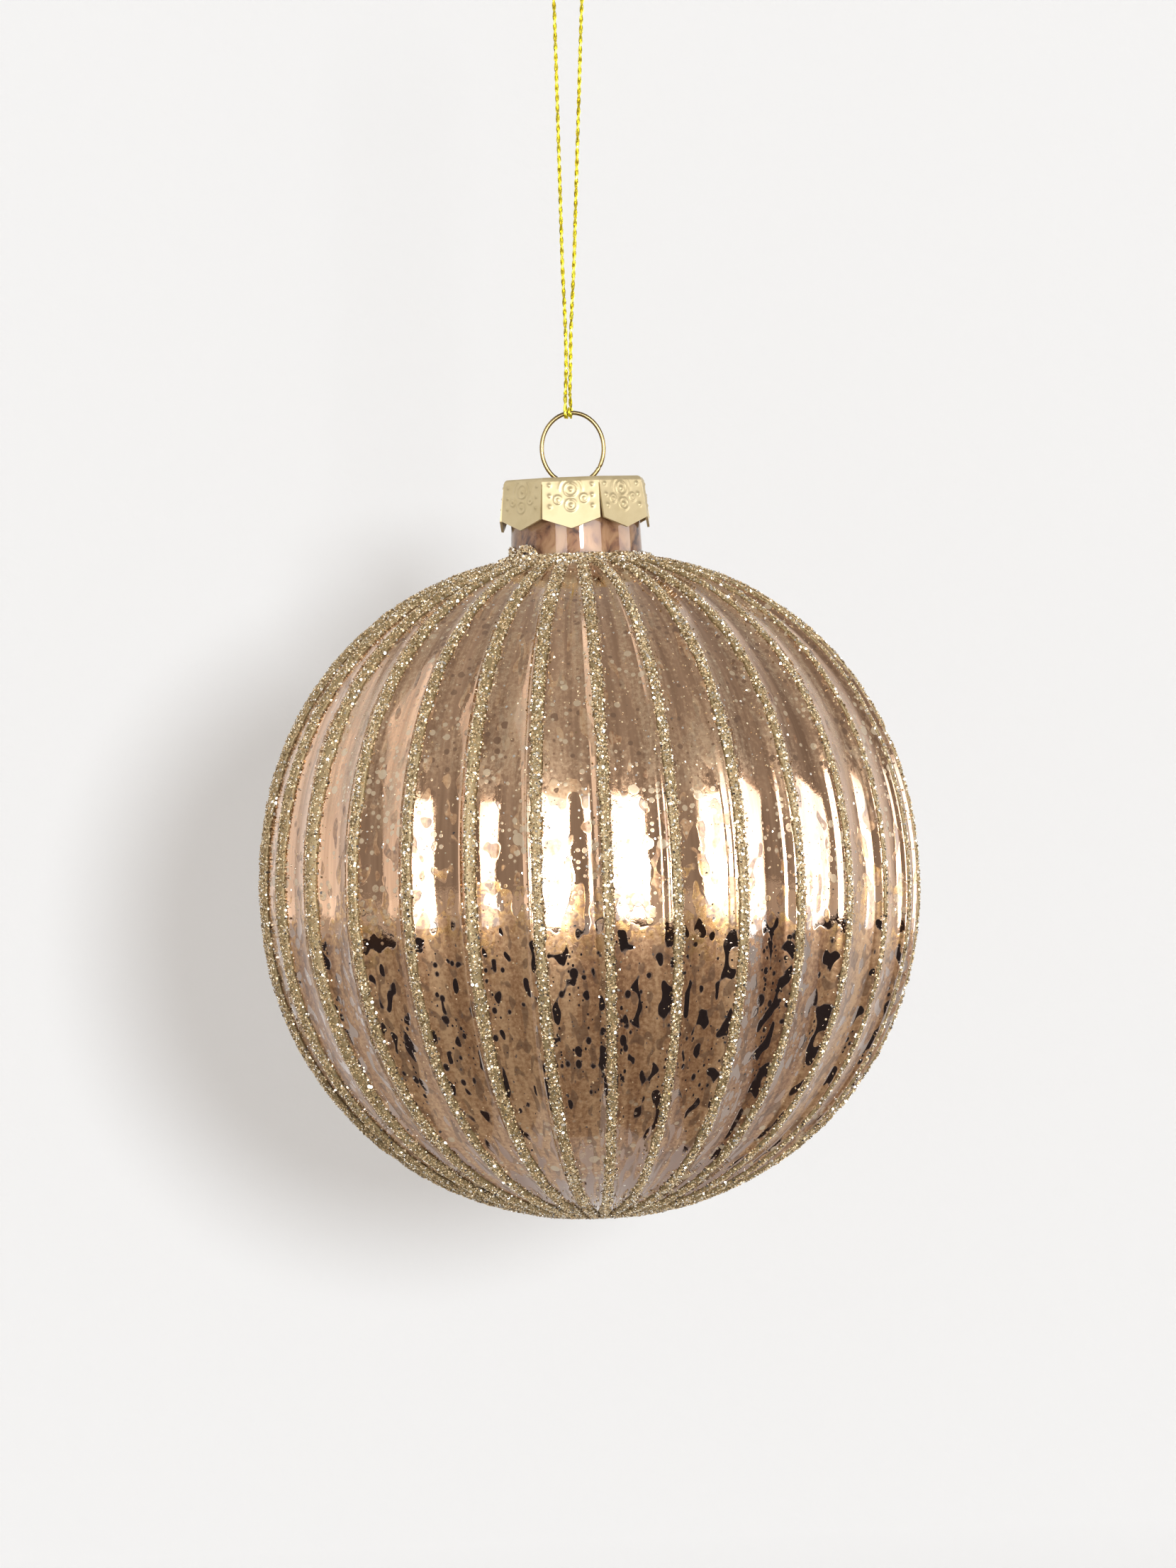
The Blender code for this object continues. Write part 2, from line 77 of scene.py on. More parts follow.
# Finer forms of the glass, which the solids don't have
FLUTE_WIDTH = TURN * BALL_RADIUS / FLUTES
FLUTE_CHANGE = rng.uniform(0.9, 1.1, FLUTES)  # of each hollow's depth
FLUTE_TURN = np.radians(rng.uniform(-5.0, 5.0, FLUTES))  # how far each hollow faces right of square
FLUTE_TURN[[27, 28, 29, 0, 1, 2, 3]] = np.radians([7.4, -4.8, 6.0, 0.0, 0.7, 8.0, 1.2])  # seen in front
TURN_EDGE = 0.12  # share of a flute over which that turn fades out
RIDGE_OFFSET = -0.75 * MM  # a rounded ridge of glass, left of each line of glitter
RIDGE_HALF_WIDTH = 1.0 * MM
RIDGE_HEIGHT = 0.36 * MM
BLOWN_WAVES = (  # lobes round the ball, climb with latitude, phase, size in mm
    (5, 1.5, 0.4, 0.06), (11, 4.0, 1.9, 0.05), (19, -7.0, 4.1, 0.03), (37, 11.0, 2.2, 0.018),
    (61, -17.0, 5.0, 0.012), (90, 23.0, 0.9, 0.008),
)
COLUMN_SHARES = np.array([  # points across one flute, closer at its ridge
    0.0, 0.024, 0.05, 0.09, 0.14, 0.21, 0.3, 0.4, 0.5, 0.6, 0.69, 0.75,
    0.79, 0.82, 0.845, 0.87, 0.895, 0.92, 0.945, 0.972,
])
INSIDE_LATITUDES = np.linspace(-88.0, 74.0, 18)
OUTSIDE_LATITUDES = np.linspace(NECK_FOOT_LATITUDE - 0.6, -88.5, 117)

# Silvering: zones run from 0 at the bottom pole to 1 at the top
ZONE_REACH = 50 * MM
ZONE_WANDER = 5 * MM
LACQUER_LEVEL = (  # zone, and how rare the lacquer is there
    (0.0, 0.6), (0.07, 0.52), (0.15, 0.36), (0.42, 0.33), (0.47, 0.52),
    (0.52, 0.64), (0.6, 0.7), (0.94, 0.7), (0.98, 0.35),
)
DRIP_PLACES = (  # share of a flute, and how far bare drips reach there
    (0.04, 0.0), (0.1, 1.0), (0.2, 0.7), (0.32, 0.0), (0.74, 0.0), (0.84, 0.7), (0.93, 1.0), (0.97, 0.0),
)
HOLES = ((480.0, 0.44), (760.0, 0.42), (1500.0, 0.4))  # cells a metre, largest share of a cell
CREAM_SPOTS = ((1000.0, 0.4), (520.0, 0.36))
MIRROR = ((0.44, 0.252, 0.142), (0.81, 0.51, 0.315))
HOLE_MIRROR = (0.44, 0.385, 0.36)
BASE_MIRROR = (0.43, 0.305, 0.25)
BUBBLE_MIRROR = (0.34, 0.205, 0.13)
TAN = ((0.2, 0.085, 0.036), (0.4, 0.21, 0.098), (0.62, 0.38, 0.2))
STAIN = (0.15, 0.08, 0.045)
# bright gold of the crumbs in the painted highlight band at the widest line
PAINTED_GLINT_GOLD = ((0.46, 0.23, 0.08), (0.84, 0.52, 0.22))
CREAM = ((0.4, 0.27, 0.16), (0.56, 0.42, 0.27))
PALE_CREAM = (0.66, 0.53, 0.36)
NECK_COPPER = ((0.08, 0.03, 0.016), (0.3, 0.135, 0.06), (0.45, 0.245, 0.115), (0.55, 0.34, 0.18))
NECK_TINT = (0.97, 0.95, 0.93)

# Glitter: lines of glue with flakes in it
GLUE = (0.34, 0.25, 0.12)
GLUE_LIFT = 0.03 * MM
LINE_HALF_WIDTHS = (0.76 * MM, 0.88 * MM)  # below and above the widest line
LINE_BELOW_ABOVE = (-30.0, 20.0)  # latitudes of these widths
LINE_HEIGHT = 0.42 * MM
LINE_CROWDING = 0.37  # half a line's most, of the space between ribs
LINE_SHIFT = 0.42 * MM  # right of the rib's crest
LINE_LATITUDES = (77.6, -86.0)
LINE_SHORT = (0.006, 0.02)  # most missing at its top and bottom, of its length
LINE_UNEVEN = (0.1, 0.12, 0.05 * MM)  # changes of its width, height and course
LINE_KNOTS = 120  # along a line, at which these change
LINE_GRID = (130, 7)  # glue's points along and across a line
FLAKE_SIDES = 6
FLAKE_POINT = 0.9  # depth of its point, of its half width
FLAKE_TONES = (  # colour, metallic, roughness, size and share of the flakes
    ((0.6, 0.415, 0.215), 0.3, 0.34, 1.0, 0.29),
    ((0.9, 0.7, 0.43), 0.3, 0.3, 1.0, 0.22),
    ((0.21, 0.13, 0.055), 0.5, 0.36, 1.0, 0.18),
    ((1.0, 0.86, 0.6), 0.9, 0.28, 1.1, 0.18),
    ((1.0, 0.95, 0.86), 1.0, 0.2, 1.4, 0.13),
)
LINE_FLAKES = 4600
LINE_FLAKE_SIZES = (0.09, 0.18)  # half widths in mm, as for other flakes
LINE_FLAKE_LIFT = 0.07 * MM
LINE_FRAYED = 0.15  # share that may lie beside the line
COLLAR_LATITUDE = 77.2
COLLAR_ROWS = 7
COLLAR_FLAKES = 4200
COLLAR_FLAKE_SIZES = (0.1, 0.21)
ARCHES = (  # loops on the neck: place and half width in degrees, rise in mm
    (-139.7, 9.5, 2.0), (-168.0, 8.0, 1.9), (38.0, 7.0, 1.4), (96.0, 8.0, 1.7),
)
ARCH_FLAKES = 520
PATCH_FLAKE_SIZES = (0.12, 0.2)  # in the loops and under the ball
BASE_GLUE = ((-83.5, 0.0), (-85.0, 0.3), (-87.0, 0.4), (-89.2, 0.45))  # latitude, thickness in mm
BASE_FLAKES = 2600
BASE_PATCH_RADIUS = 6.2 * MM
STRAY_TRIES = 44000
STRAY_FLAKE_SIZES = (0.07, 0.17)
STRAY_SHARES = (0.1, 0.45, 0.02, 0.15, 0.28)  # of the same tones, in loose flakes

# Crown cap and hanger, after the CAD source
CAP_SIDES = 8
CAP_TOP_REACH = 10.27 * MM
CAP_BASE_REACH = 11.2 * MM
CAP_SHEET = 0.35 * MM
CAP_EDGE_RADIUS = 0.6 * MM
CAP_RIM = 0.8 * MM  # flat sheet inside the rounded edge
CAP_TURN = radians(-90.0 - 3.0)
CAP_SHARP = radians(32.0)
PETAL_SIDE = 6.2 * MM
PETAL_TIP = 7.7 * MM
PETAL_COLUMNS = 72
PETAL_ROWS = 66
PETAL_BEND = 1.4  # power of its bend out towards the tip
PETAL_FLARES = (-0.1 * MM, 0.35 * MM)
PETAL_CURL = 0.2 * MM
LIFTED_PETAL = 1  # the one right of the front
PETAL_LIFT = 0.5 * MM
SLIT_TOP = 1.0 * MM
SLIT_WIDTHS = (0.18 * MM, 0.42 * MM)
# Bosses on a petal, in mm: across, down, radius of the ring round each
BOSSES = ((0.0, 1.9, 0.98), (0.0, 4.25, 0.85), (-1.95, 3.4, 0.55), (1.95, 3.25, 0.55))
DOTS = tuple((side * 3.2, drop) for side in (-1, 1) for drop in (1.2, 2.8, 4.4))
BOSS_SWELL = (0.2, 0.3)  # height and width in mm, as below
BOSS_RING_SWELL = (0.12, 0.17)
ARC_SWELL = (0.11, 0.2)
DOT_SWELL = (0.18, 0.27)
ARC_RADIUS = 1.75  # of an arc over the upper boss, in mm
CAP_BRASS = ((0.63, 0.517, 0.3), (0.565, 0.452, 0.246))
WIRE_BRASS = ((0.33, 0.25, 0.12), (0.24, 0.17, 0.075))
BRASS_GRAIN = 260.0
WIRE_RADIUS = 0.33 * MM
WIRE_SIDES = 14
RING_HALF_WIDTH = 4.65 * MM
RING_HALF_HEIGHT = 5.36 * MM
RING_RISE = 10.2 * MM
RING_OPENING = radians(50.0)
RING_PINCH = radians(-33.0)  # a nick on the ring's right, where pliers held the wire
RING_PINCH_DEPTH = 0.2  # of the wire's radius
RING_PINCH_WIDTH = 0.035  # radians
LEG_HOLE_X = 2.45 * MM
LEG_HOLE_RADIUS = 0.75 * MM
LEG_HOLE_SIDES = 20
LEG_ROUTE = (  # right leg below the cap: x, z from the cap's top, in mm
    (2.54, 0.0), (2.3, -0.8), (2.75, -2.6), (4.6, -6.2),
    (6.7, -9.8), (7.45, -13.0), (7.5, -16.8), (7.0, -19.5),
)
ROUTE_STEPS = 24  # of a smooth curve between two points of its route

# Cord, after the CAD source but drawn tight at the hitch; the frame's origin is the eye of its loop
CORD_DIAMETER = 0.62 * MM
CORD_DROP = 69.0 * MM
CORD_LEAN = radians(2.07)
HITCH_ANGLE = radians(5.7)
HITCH_TURNS = 1.5
HITCH_PITCH = 0.66 * MM
HITCH_TOP = 2.8 * MM
HITCH_LEAD = ((-0.38, -0.05, 2.2), (-0.38, -0.3, 1.4), (-0.44, -0.58, 0.6))  # left strand to turns, in mm
STRAND_HALF_GAP = 0.33 * MM
STRAND_ROUTE = (  # half the space between strands, depth, height from the eye, in mm
    (0.5, 0.0, 0.3), (1.2, 0.02, -0.35), (1.92, 0.04, -1.5), (2.26, 0.05, -3.2),
    (2.2, 0.04, -5.4), (2.05, 0.02, -8.4), (1.9, -0.02, -13.0), (1.73, -0.05, -18.5),
    (1.56, -0.06, -24.0), (1.39, -0.04, -29.5), (1.22, 0.0, -35.0), (1.06, 0.04, -40.5),
    (0.9, 0.06, -46.0), (0.64, 0.05, -51.5), (0.4, 0.02, -57.0), (0.33, 0.0, -62.0),
)
KNOT_HEIGHT = 2.05 * MM
KNOT_TURNS = 2.8
KNOT_RADIUS = 0.56 * MM
KNOT_SKEW = 0.25
KNOT_ENTRY = ((0.2, 0.0, 2.0), (0.3, 0.0, 1.0))  # strands inside the knot, as above
TAIL_ROUTE = ((0.3, 1.9), (0.62, 3.6), (1.15, 5.2), (1.45, 6.4))  # across and up, in mm
TAIL_DEPTH = 0.2 * MM
CORD_PLIES = 2
PLY_RADIUS = 0.172 * MM
PLY_PITCH = 3.07 * MM
PLY_SIDES = 6
FOIL = ((0.5, 0.37, 0.012), (0.79, 0.67, 0.045), (0.88, 0.82, 0.14))

# Places that follow from the frame and the sizes above
GLASS_LOW, GLASS_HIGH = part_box("glass_ball")
BALL_CENTRE = Vector(((GLASS_LOW.x + GLASS_HIGH.x) / 2, 0.0, GLASS_LOW.z + BASE_DEPTH))
RIM_HEIGHT = GLASS_HIGH.z - BALL_CENTRE.z
CAP_TOP = Vector((BALL_CENTRE.x, 0.0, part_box("crown_cap")[1].z))
RING_ABOVE_CAP = RING_RISE - RING_HALF_HEIGHT - WIRE_RADIUS
HITCH = Vector((-CORD_DROP * tan(CORD_LEAN), 0.0, -CORD_DROP))

# Photograph
PHOTO_SIZE = (1659, 2212)
PIXELS_PER_METRE = 9390.0  # at the ball's axis
BALL_PIXEL = (831.0, 1254.0)  # centre of the ball's widest line
CAMERA_DISTANCE = 1.6
CAMERA_ROLL = radians(2.13)

# Surroundings and light
BACKGROUND = (0.896,) * 3  # the photograph's pale wall, as linear light
ROOM_AMBIENT = (0.62, 0.59, 0.56)
ROOM_REFLECTED = (0.38, 0.357, 0.338)
WALL_PAINT = (0.93, 0.93, 0.93)
WALL_Y = 0.165  # clear of the ball when it swings back
WALL_REACH = 4.0
WALL_FADE_ACROSS = (0.26, 0.47)
WALL_FADE_UP = (0.03, 0.12)
WALL_FADE_DOWN = (-0.25, -0.34)
FLOOR_PAINT = ((0.8, 0.8, 0.8), (0.83, 0.83, 0.83))
FLOOR_Z = -0.5
FLOOR_REACH = 40.0  # far enough for a level horizon
CARD_PAINT = (0.05, 0.042, 0.045)  # a dark card below, which only the glass reflects
CARD_CORNERS = ((-0.9, -0.72, -0.289), (0.9, -0.02, -0.289))
SOFTBOX_DISTANCE = 1.3
SOFTBOXES = (  # name, azimuths, elevations, radiance
    ("front_softbox", (7.0, 45.0), (-9.5, 25.0), 6.2),
    ("left_strip", (-36.0, -16.0), (-9.5, 25.0), 5.5),
    ("right_strip", (82.0, 111.0), (-9.5, 18.0), 4.2),
    ("left_reflector", (-120.0, -74.0), (-4.0, 52.0), 0.82),
)
SUNS = (  # name, azimuth, elevation, softness, strength, colour, whether mirrored
    ("key", 10.0, 3.1, 8.0, 1.1, (0.96, 1.01, 1.06), True),
    ("overhead", 10.0, 78.0, 25.0, 0.5, (1.0, 1.0, 1.0), False),
)


class Graph:
    """Short calls for wiring the nodes of a material or a world."""

    def __init__(self, name, library="materials"):
        self.owner = getattr(bpy.data, library).new(name)
        self.owner.use_nodes = True
        self.tree = self.owner.node_tree
        self.place = self.add("TexCoord").outputs["Object"]

    def add(self, kind, inputs=(), **settings):
        item = self.tree.nodes.new("ShaderNode" + kind)
        for name, value in settings.items():
            setattr(item, name, value)
        for name, value in dict(inputs).items():
            self.feed(item.inputs[name], value)
        return item

    def feed(self, socket, value):
        if isinstance(value, bpy.types.NodeSocket):
            self.tree.links.new(value, socket)
        else:
            socket.default_value = (*value, 1.0) if socket.type == "RGBA" else value

    def math(self, operation, first, second=0.0, clamp=False):
        return self.add("Math", {0: first, 1: second}, operation=operation, use_clamp=clamp).outputs[0]

    def fold(self, operation, first, *others):
        for other in others:
            first = self.math(operation, first, other)
        return first

    product = partialmethod(fold, "MULTIPLY")
    total = partialmethod(fold, "ADD")
    most = partialmethod(fold, "MAXIMUM")

    def rest(self, value):
        return self.math("SUBTRACT", 1.0, value)

    def vector(self, operation, first, second=(0.0, 0.0, 0.0)):
        return self.add("VectorMath", {0: first, 1: second}, operation=operation).outputs[0]

    def parts(self, vector):
        return self.add("SeparateXYZ", {"Vector": vector}).outputs

    def span(self, value, start, end, low=0.0, high=1.0):
        limits = {"Value": value, "From Min": start, "From Max": end, "To Min": low, "To Max": high}
        return self.add("MapRange", limits).outputs["Result"]

    def stretched(self, scale):
        return self.add("Mapping", {"Vector": self.place, "Scale": scale}).outputs["Vector"]

    def wrapped(self, stretch):
        """Places on a sleeve round the ball, for patterns along its ribs."""
        flat = self.vector("NORMALIZE", self.vector("MULTIPLY", self.place, (1.0, 1.0, 0.0)))
        wide = self.vector("MULTIPLY", flat, (BALL_RADIUS, BALL_RADIUS, 0.0))
        return self.vector("ADD", wide, self.vector("MULTIPLY", self.place, (0.0, 0.0, stretch)))

    def spots(self, scale, largest, amount, place=None):
        """Round spots of many sizes, as wide as the amount lets them be."""
        cells = self.add("TexVoronoi", {"Vector": place or self.place, "Scale": scale, "Randomness": 0.7})
        pick = self.parts(cells.outputs["Color"])["X"]
        size = self.product(self.span(pick, 0.3, 1.0, 0.0, largest), amount)
        inside = self.math("SUBTRACT", size, cells.outputs["Distance"])
        return self.math("MULTIPLY", inside, 14.0, clamp=True)

    def noise(self, scale, detail=2.0, roughness=0.5, place=None, distortion=0.0):
        settings = {"Vector": place or self.place, "Scale": scale, "Detail": detail,
                    "Roughness": roughness, "Distortion": distortion}
        return self.add("TexNoise", settings).outputs["Fac"]

    def ramp(self, share, places, colours):
        item = self.add("ValToRGB", {"Fac": share})
        stops = item.color_ramp.elements
        stops[0].position, stops[1].position = places[0], places[-1]
        for place in places[1:-1]:
            stops.new(place)
        for stop, colour in zip(stops, colours):
            stop.color = (*colour, 1.0)
        return item.outputs["Color"]

    def curve(self, share, *stops):
        """A ramp of plain numbers."""
        places, values = zip(*stops)
        return self.ramp(share, places, [(value,) * 3 for value in values])

    def blend(self, share, first, second):
        return self.add("Mix", {0: share, 6: first, 7: second}, data_type="RGBA").outputs[2]

    def bump(self, height, strength, depth):
        return self.add("Bump", {"Height": height, "Strength": strength, "Distance": depth}).outputs["Normal"]

    def finish(self, inputs):
        shader = self.tree.nodes["Principled BSDF"]
        for name, value in inputs.items():
            self.feed(shader.inputs[name], value)
        return self.owner


class Shape:
    """Points and faces of one piece, gathered before its mesh is made."""

    def __init__(self):
        self.points, self.faces, self.slots = [], [], []
        self.start = self.total = 0

    def add(self, points, faces, slot=0):
        self.start = self.total
        self.points.append(np.asarray(points, float).reshape(-1, 3))
        self.total += len(self.points[-1])
        self.add_faces(faces, slot)

    def add_faces(self, faces, slot=0):
        """More faces on the points that were added last."""
        self.faces.append(np.asarray(faces, int) + self.start)
        self.slots.append(np.broadcast_to(slot, len(faces)))

    def mesh(self, name, smooth=True):
        """The mesh, in which the faces of flakes stay flat."""
        corners = np.concatenate([faces.ravel() for faces in self.faces])
        sizes = np.concatenate([np.full(len(faces), faces.shape[1]) for faces in self.faces])
        mesh = bpy.data.meshes.new(name)
        mesh.vertices.add(self.total)
        mesh.vertices.foreach_set("co", np.concatenate(self.points).ravel())
        mesh.loops.add(len(corners))
        mesh.loops.foreach_set("vertex_index", corners.astype(np.int32))
        mesh.polygons.add(len(sizes))
        mesh.polygons.foreach_set("loop_start", (np.cumsum(sizes) - sizes).astype(np.int32))
        mesh.polygons.foreach_set("material_index", np.concatenate(self.slots).astype(np.int32))
        mesh.polygons.foreach_set("use_smooth", smooth & (sizes != FLAKE_SIDES))
        mesh.update(calc_edges=True)
        return mesh


def new_object(name, data):
    item = bpy.data.objects.new(name, data)
    bpy.context.scene.collection.objects.link(item)
    return item


def new_piece(name, mesh, materials, body=None, place=(0.0, 0.0, 0.0), nodes=()):
    """An object that stands for CAD nodes and rides on a body."""
    piece = new_object(name, mesh)
    for material in materials:
        mesh.materials.append(material)
    piece.location = place
    if body:
        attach(piece, body)
    if nodes:
        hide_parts(*nodes)
    return piece


def unit(vectors):
    return vectors / np.linalg.norm(vectors, axis=-1, keepdims=True)


def zipped(*columns):
    """Numbers side by side in the last axis."""
    return np.stack(np.broadcast_arrays(*columns), axis=-1)


def around(radius, angle, height):
    """Points at radii, angles and heights round the vertical axis."""
    return zipped(radius * np.cos(angle), radius * np.sin(angle), height)


def reach_along(points):
    """How far along a route each of its points lies."""
    return np.concatenate([[0.0], np.cumsum(np.linalg.norm(np.diff(points, axis=0), axis=1))])


def bend(start, corner, end, count):
    """Points on a curve that rounds off a corner."""
    t = np.linspace(0, 1, count)[:, None]
    return (1 - t) ** 2 * np.array(start) + 2 * t * (1 - t) * np.array(corner) + t ** 2 * np.array(end)


def grid_faces(rows, columns, wrap=False):
    """Quads of a grid of points that is stored row by row."""
    across = columns if wrap else columns - 1
    row, column = np.meshgrid(np.arange(rows - 1), np.arange(across), indexing="ij")
    start = (row * columns + column).ravel()
    end = (row * columns + (column + 1) % columns).ravel()
    return zipped(start, start + columns, end + columns, end)


def smooth_route(points, count):
    """Evenly spaced points on a smooth curve through the route's own points."""
    route = np.asarray(points, float)
    route = np.vstack([2 * route[0] - route[1], route, 2 * route[-1] - route[-2]])
    a, b, c, d = (route[i:len(route) - 3 + i, None] for i in range(4))
    t = (np.arange(ROUTE_STEPS) / ROUTE_STEPS)[None, :, None]
    fine = 2 * b + (c - a) * t + (2 * a - 5 * b + 4 * c - d) * t ** 2 + (3 * b - a - 3 * c + d) * t ** 3
    fine = np.vstack([0.5 * fine.reshape(-1, 3), route[-2]])
    reach = reach_along(fine)
    targets = np.linspace(0.0, reach[-1], count)
    return zipped(*(np.interp(targets, reach, axis) for axis in fine.T))


def side_vectors(points):
    """Two vectors square to a route at each of its points, which don't spin along it."""
    along = unit(np.gradient(points, axis=0))
    start = np.array([0.0, 1.0, 0.0])
    if abs(along[0] @ start) > 0.9:
        start = np.array([1.0, 0.0, 0.0])
    first = np.empty_like(points)
    for i, direction in enumerate(along):
        start = unit(start - direction * (start @ direction))
        first[i] = start
    return first, np.cross(along, first)


def add_tube(shape, points, radius, sides):
    """A round rod along the points, closed by a low dome at each end."""
    first, second = side_vectors(points)
    angles = (TURN * np.arange(sides) / sides)[None, :, None]
    radius = np.broadcast_to(radius, len(points))[:, None, None]
    rings = points[:, None] + radius * (np.cos(angles) * first[:, None] + np.sin(angles) * second[:, None])
    ends = np.stack([points[0], points[-1]])
    ends += 0.3 * radius[[0, -1], 0] * unit(np.stack([points[0] - points[1], points[-1] - points[-2]]))
    count = len(points)
    shape.add(np.vstack([rings.reshape(-1, 3), ends]), grid_faces(count, sides, wrap=True)[:, ::-1])
    here, after = np.arange(sides), (np.arange(sides) + 1) % sides
    last = (count - 1) * sides
    shape.add_faces(zipped(after, here, count * sides))
    shape.add_faces(zipped(here + last, after + last, count * sides + 1))


def make_camera():
    """The photograph's view: level, and rolled as the ornament leans in the picture."""
    data = bpy.data.cameras.new("camera")
    data.sensor_width = 36.0
    data.lens = data.sensor_width * CAMERA_DISTANCE * PIXELS_PER_METRE / PHOTO_SIZE[1]
    data.clip_start = 0.01
    right = Vector((cos(CAMERA_ROLL), 0.0, -sin(CAMERA_ROLL)))
    up = Vector((sin(CAMERA_ROLL), 0.0, cos(CAMERA_ROLL)))
    back = Vector((0.0, -1.0, 0.0))
    aim = BALL_CENTRE + right * ((PHOTO_SIZE[0] / 2 - BALL_PIXEL[0]) / PIXELS_PER_METRE)
    aim += up * ((BALL_PIXEL[1] - PHOTO_SIZE[1] / 2) / PIXELS_PER_METRE)
    camera = new_object("camera", data)
    turn = Matrix((right, up, back)).transposed().to_4x4()
    camera.matrix_world = Matrix.Translation(aim + back * CAMERA_DISTANCE) @ turn
    bpy.context.scene.camera = camera
    bpy.context.scene.view_settings.view_transform = "Standard"


def make_world():
    """A pale background for sight, a dim room for reflections, and even grey light."""
    graph = Graph("studio", "worlds")
    ray = graph.add("LightPath").outputs
    seen = graph.most(ray["Is Camera Ray"], ray["Is Transmission Ray"])
    room = graph.blend(ray["Is Glossy Ray"], ROOM_AMBIENT, ROOM_REFLECTED)
    graph.feed(graph.tree.nodes["Background"].inputs["Color"], graph.blend(seen, room, BACKGROUND))
    bpy.context.scene.world = graph.owner


def towards(azimuth, elevation):
    """A direction from the ball, by degrees right of the camera and up."""
    side, rise = radians(azimuth), radians(elevation)
    return Vector((sin(side) * cos(rise), -cos(side) * cos(rise), sin(rise)))


def add_lamp(name, kind, direction, distance=1.0):
    lamp = new_object(name, bpy.data.lights.new(name, kind))
    lamp.location = BALL_CENTRE + distance * direction
    lamp.rotation_euler = direction.to_track_quat("Z", "Y").to_euler()
    lamp.visible_camera = False
    return lamp


def add_sun(name, azimuth, elevation, softness, strength, colour, mirrored):
    """Even light for the surroundings and for what isn't mirror-bright."""
    lamp = add_lamp(name, "SUN", towards(azimuth, elevation))
    lamp.data.angle = radians(softness)
    lamp.data.energy = strength
    lamp.data.color = colour
    lamp.visible_glossy = mirrored


def add_softbox(name, azimuths, elevations, radiance):
    """A bright panel that glossy surfaces reflect."""
    middle = towards(sum(azimuths) / 2, sum(elevations) / 2)
    lamp = add_lamp(name, "AREA", middle, SOFTBOX_DISTANCE)
    width, height = (2 * SOFTBOX_DISTANCE * tan(radians(high - low) / 2)
                     for low, high in (azimuths, elevations))
    lamp.data.shape = "RECTANGLE"
    lamp.data.size, lamp.data.size_y = width, height
    lamp.data.energy = radiance * pi * width * height
    lamp.visible_diffuse = False


def stage_plane(name, low, high, material):
    """A flat rectangle between two opposite corners."""
    shape = Shape()
    shape.add([low, (high[0], low[1], low[2]), high, (low[0], high[1], high[2])], [(0, 1, 2, 3)])
    plane = new_piece(name, shape.mesh(name, smooth=False), [material])
    return plane


def wall_material():
    """Matt paint, seen from the front only, that fades out past the photograph's frame."""
    graph = Graph("pale_wall")
    grain = graph.bump(graph.noise(700.0, 3.0), 0.12, 0.4 * MM)
    paint = graph.add("BsdfDiffuse", {"Color": WALL_PAINT, "Normal": grain})
    place = graph.parts(graph.place)
    sideways = graph.span(graph.math("ABSOLUTE", place["X"]), *WALL_FADE_ACROSS, 1.0, 0.0)
    upward = graph.product(graph.span(place["Z"], *WALL_FADE_UP, 1.0, 0.0),
                           graph.span(place["Z"], *WALL_FADE_DOWN, 1.0, 0.0))
    front = graph.rest(graph.add("NewGeometry").outputs["Backfacing"])
    cover = graph.product(front, graph.product(sideways, upward))
    clear = graph.add("BsdfTransparent")
    mix = graph.add("MixShader", {0: cover, 1: clear.outputs[0], 2: paint.outputs[0]})
    graph.feed(graph.tree.nodes["Material Output"].inputs["Surface"], mix.outputs[0])
    return graph.owner


def floor_material():
    graph = Graph("pale_floor")
    shade = graph.ramp(graph.noise(40.0, 4.0), (0.3, 0.7), FLOOR_PAINT)
    return graph.finish({"Base Color": shade, "Roughness": 0.9, "Specular IOR Level": 0.0})


def card_material():
    graph = Graph("dark_card")
    return graph.finish({"Base Color": CARD_PAINT, "Roughness": 1.0, "Specular IOR Level": 0.0})


def make_stage():
    wall, far = WALL_REACH, FLOOR_REACH
    stage_plane("wall", (-wall, WALL_Y, FLOOR_Z), (wall, WALL_Y, wall), wall_material())
    stage_plane("floor", (-far, -far, FLOOR_Z), (far, far, FLOOR_Z), floor_material())
    card = stage_plane("dark_card", *CARD_CORNERS, card_material())
    card.visible_camera = card.visible_diffuse = card.visible_shadow = card.visible_transmission = False
    for sun in SUNS:
        add_sun(*sun)
    for softbox in SOFTBOXES:
        add_softbox(*softbox)


def foil_material():
    graph = Graph("gold_foil_thread")
    tint = graph.ramp(graph.noise(1500.0, 2.0, 0.6), (0.3, 0.5, 0.72), FOIL)
    rough = graph.span(graph.noise(2600.0, 1.0), 0.3, 0.7, 0.18, 0.36)
    fibres = graph.bump(graph.noise(9000.0, 1.0, place=graph.stretched((1.0, 1.0, 0.25))), 0.25, 0.04 * MM)
    return graph.finish({"Base Color": tint, "Metallic": 0.8, "Roughness": rough, "Normal": fibres})


def add_cord(shape, points, spin):
    """Foil-wrapped plies laid round each other along the points."""
    first, second = side_vectors(points)
    reach = reach_along(points)
    lay = CORD_DIAMETER / 2 - PLY_RADIUS
    for ply in range(CORD_PLIES):
        angle = (TURN * (reach / PLY_PITCH + ply / CORD_PLIES) + spin)[:, None]
        offset = lay * (np.cos(angle) * first + np.sin(angle) * second)
        add_tube(shape, points + offset, PLY_RADIUS, PLY_SIDES)


def strand_route(side):
    gap, depth, up = MM * np.array(STRAND_ROUTE).T
    route = zipped(side * gap + up * tan(CORD_LEAN), side * depth, up)
    return np.vstack([route, (HITCH.x + side * STRAND_HALF_GAP, 0.0, HITCH.z + HITCH_TOP)])


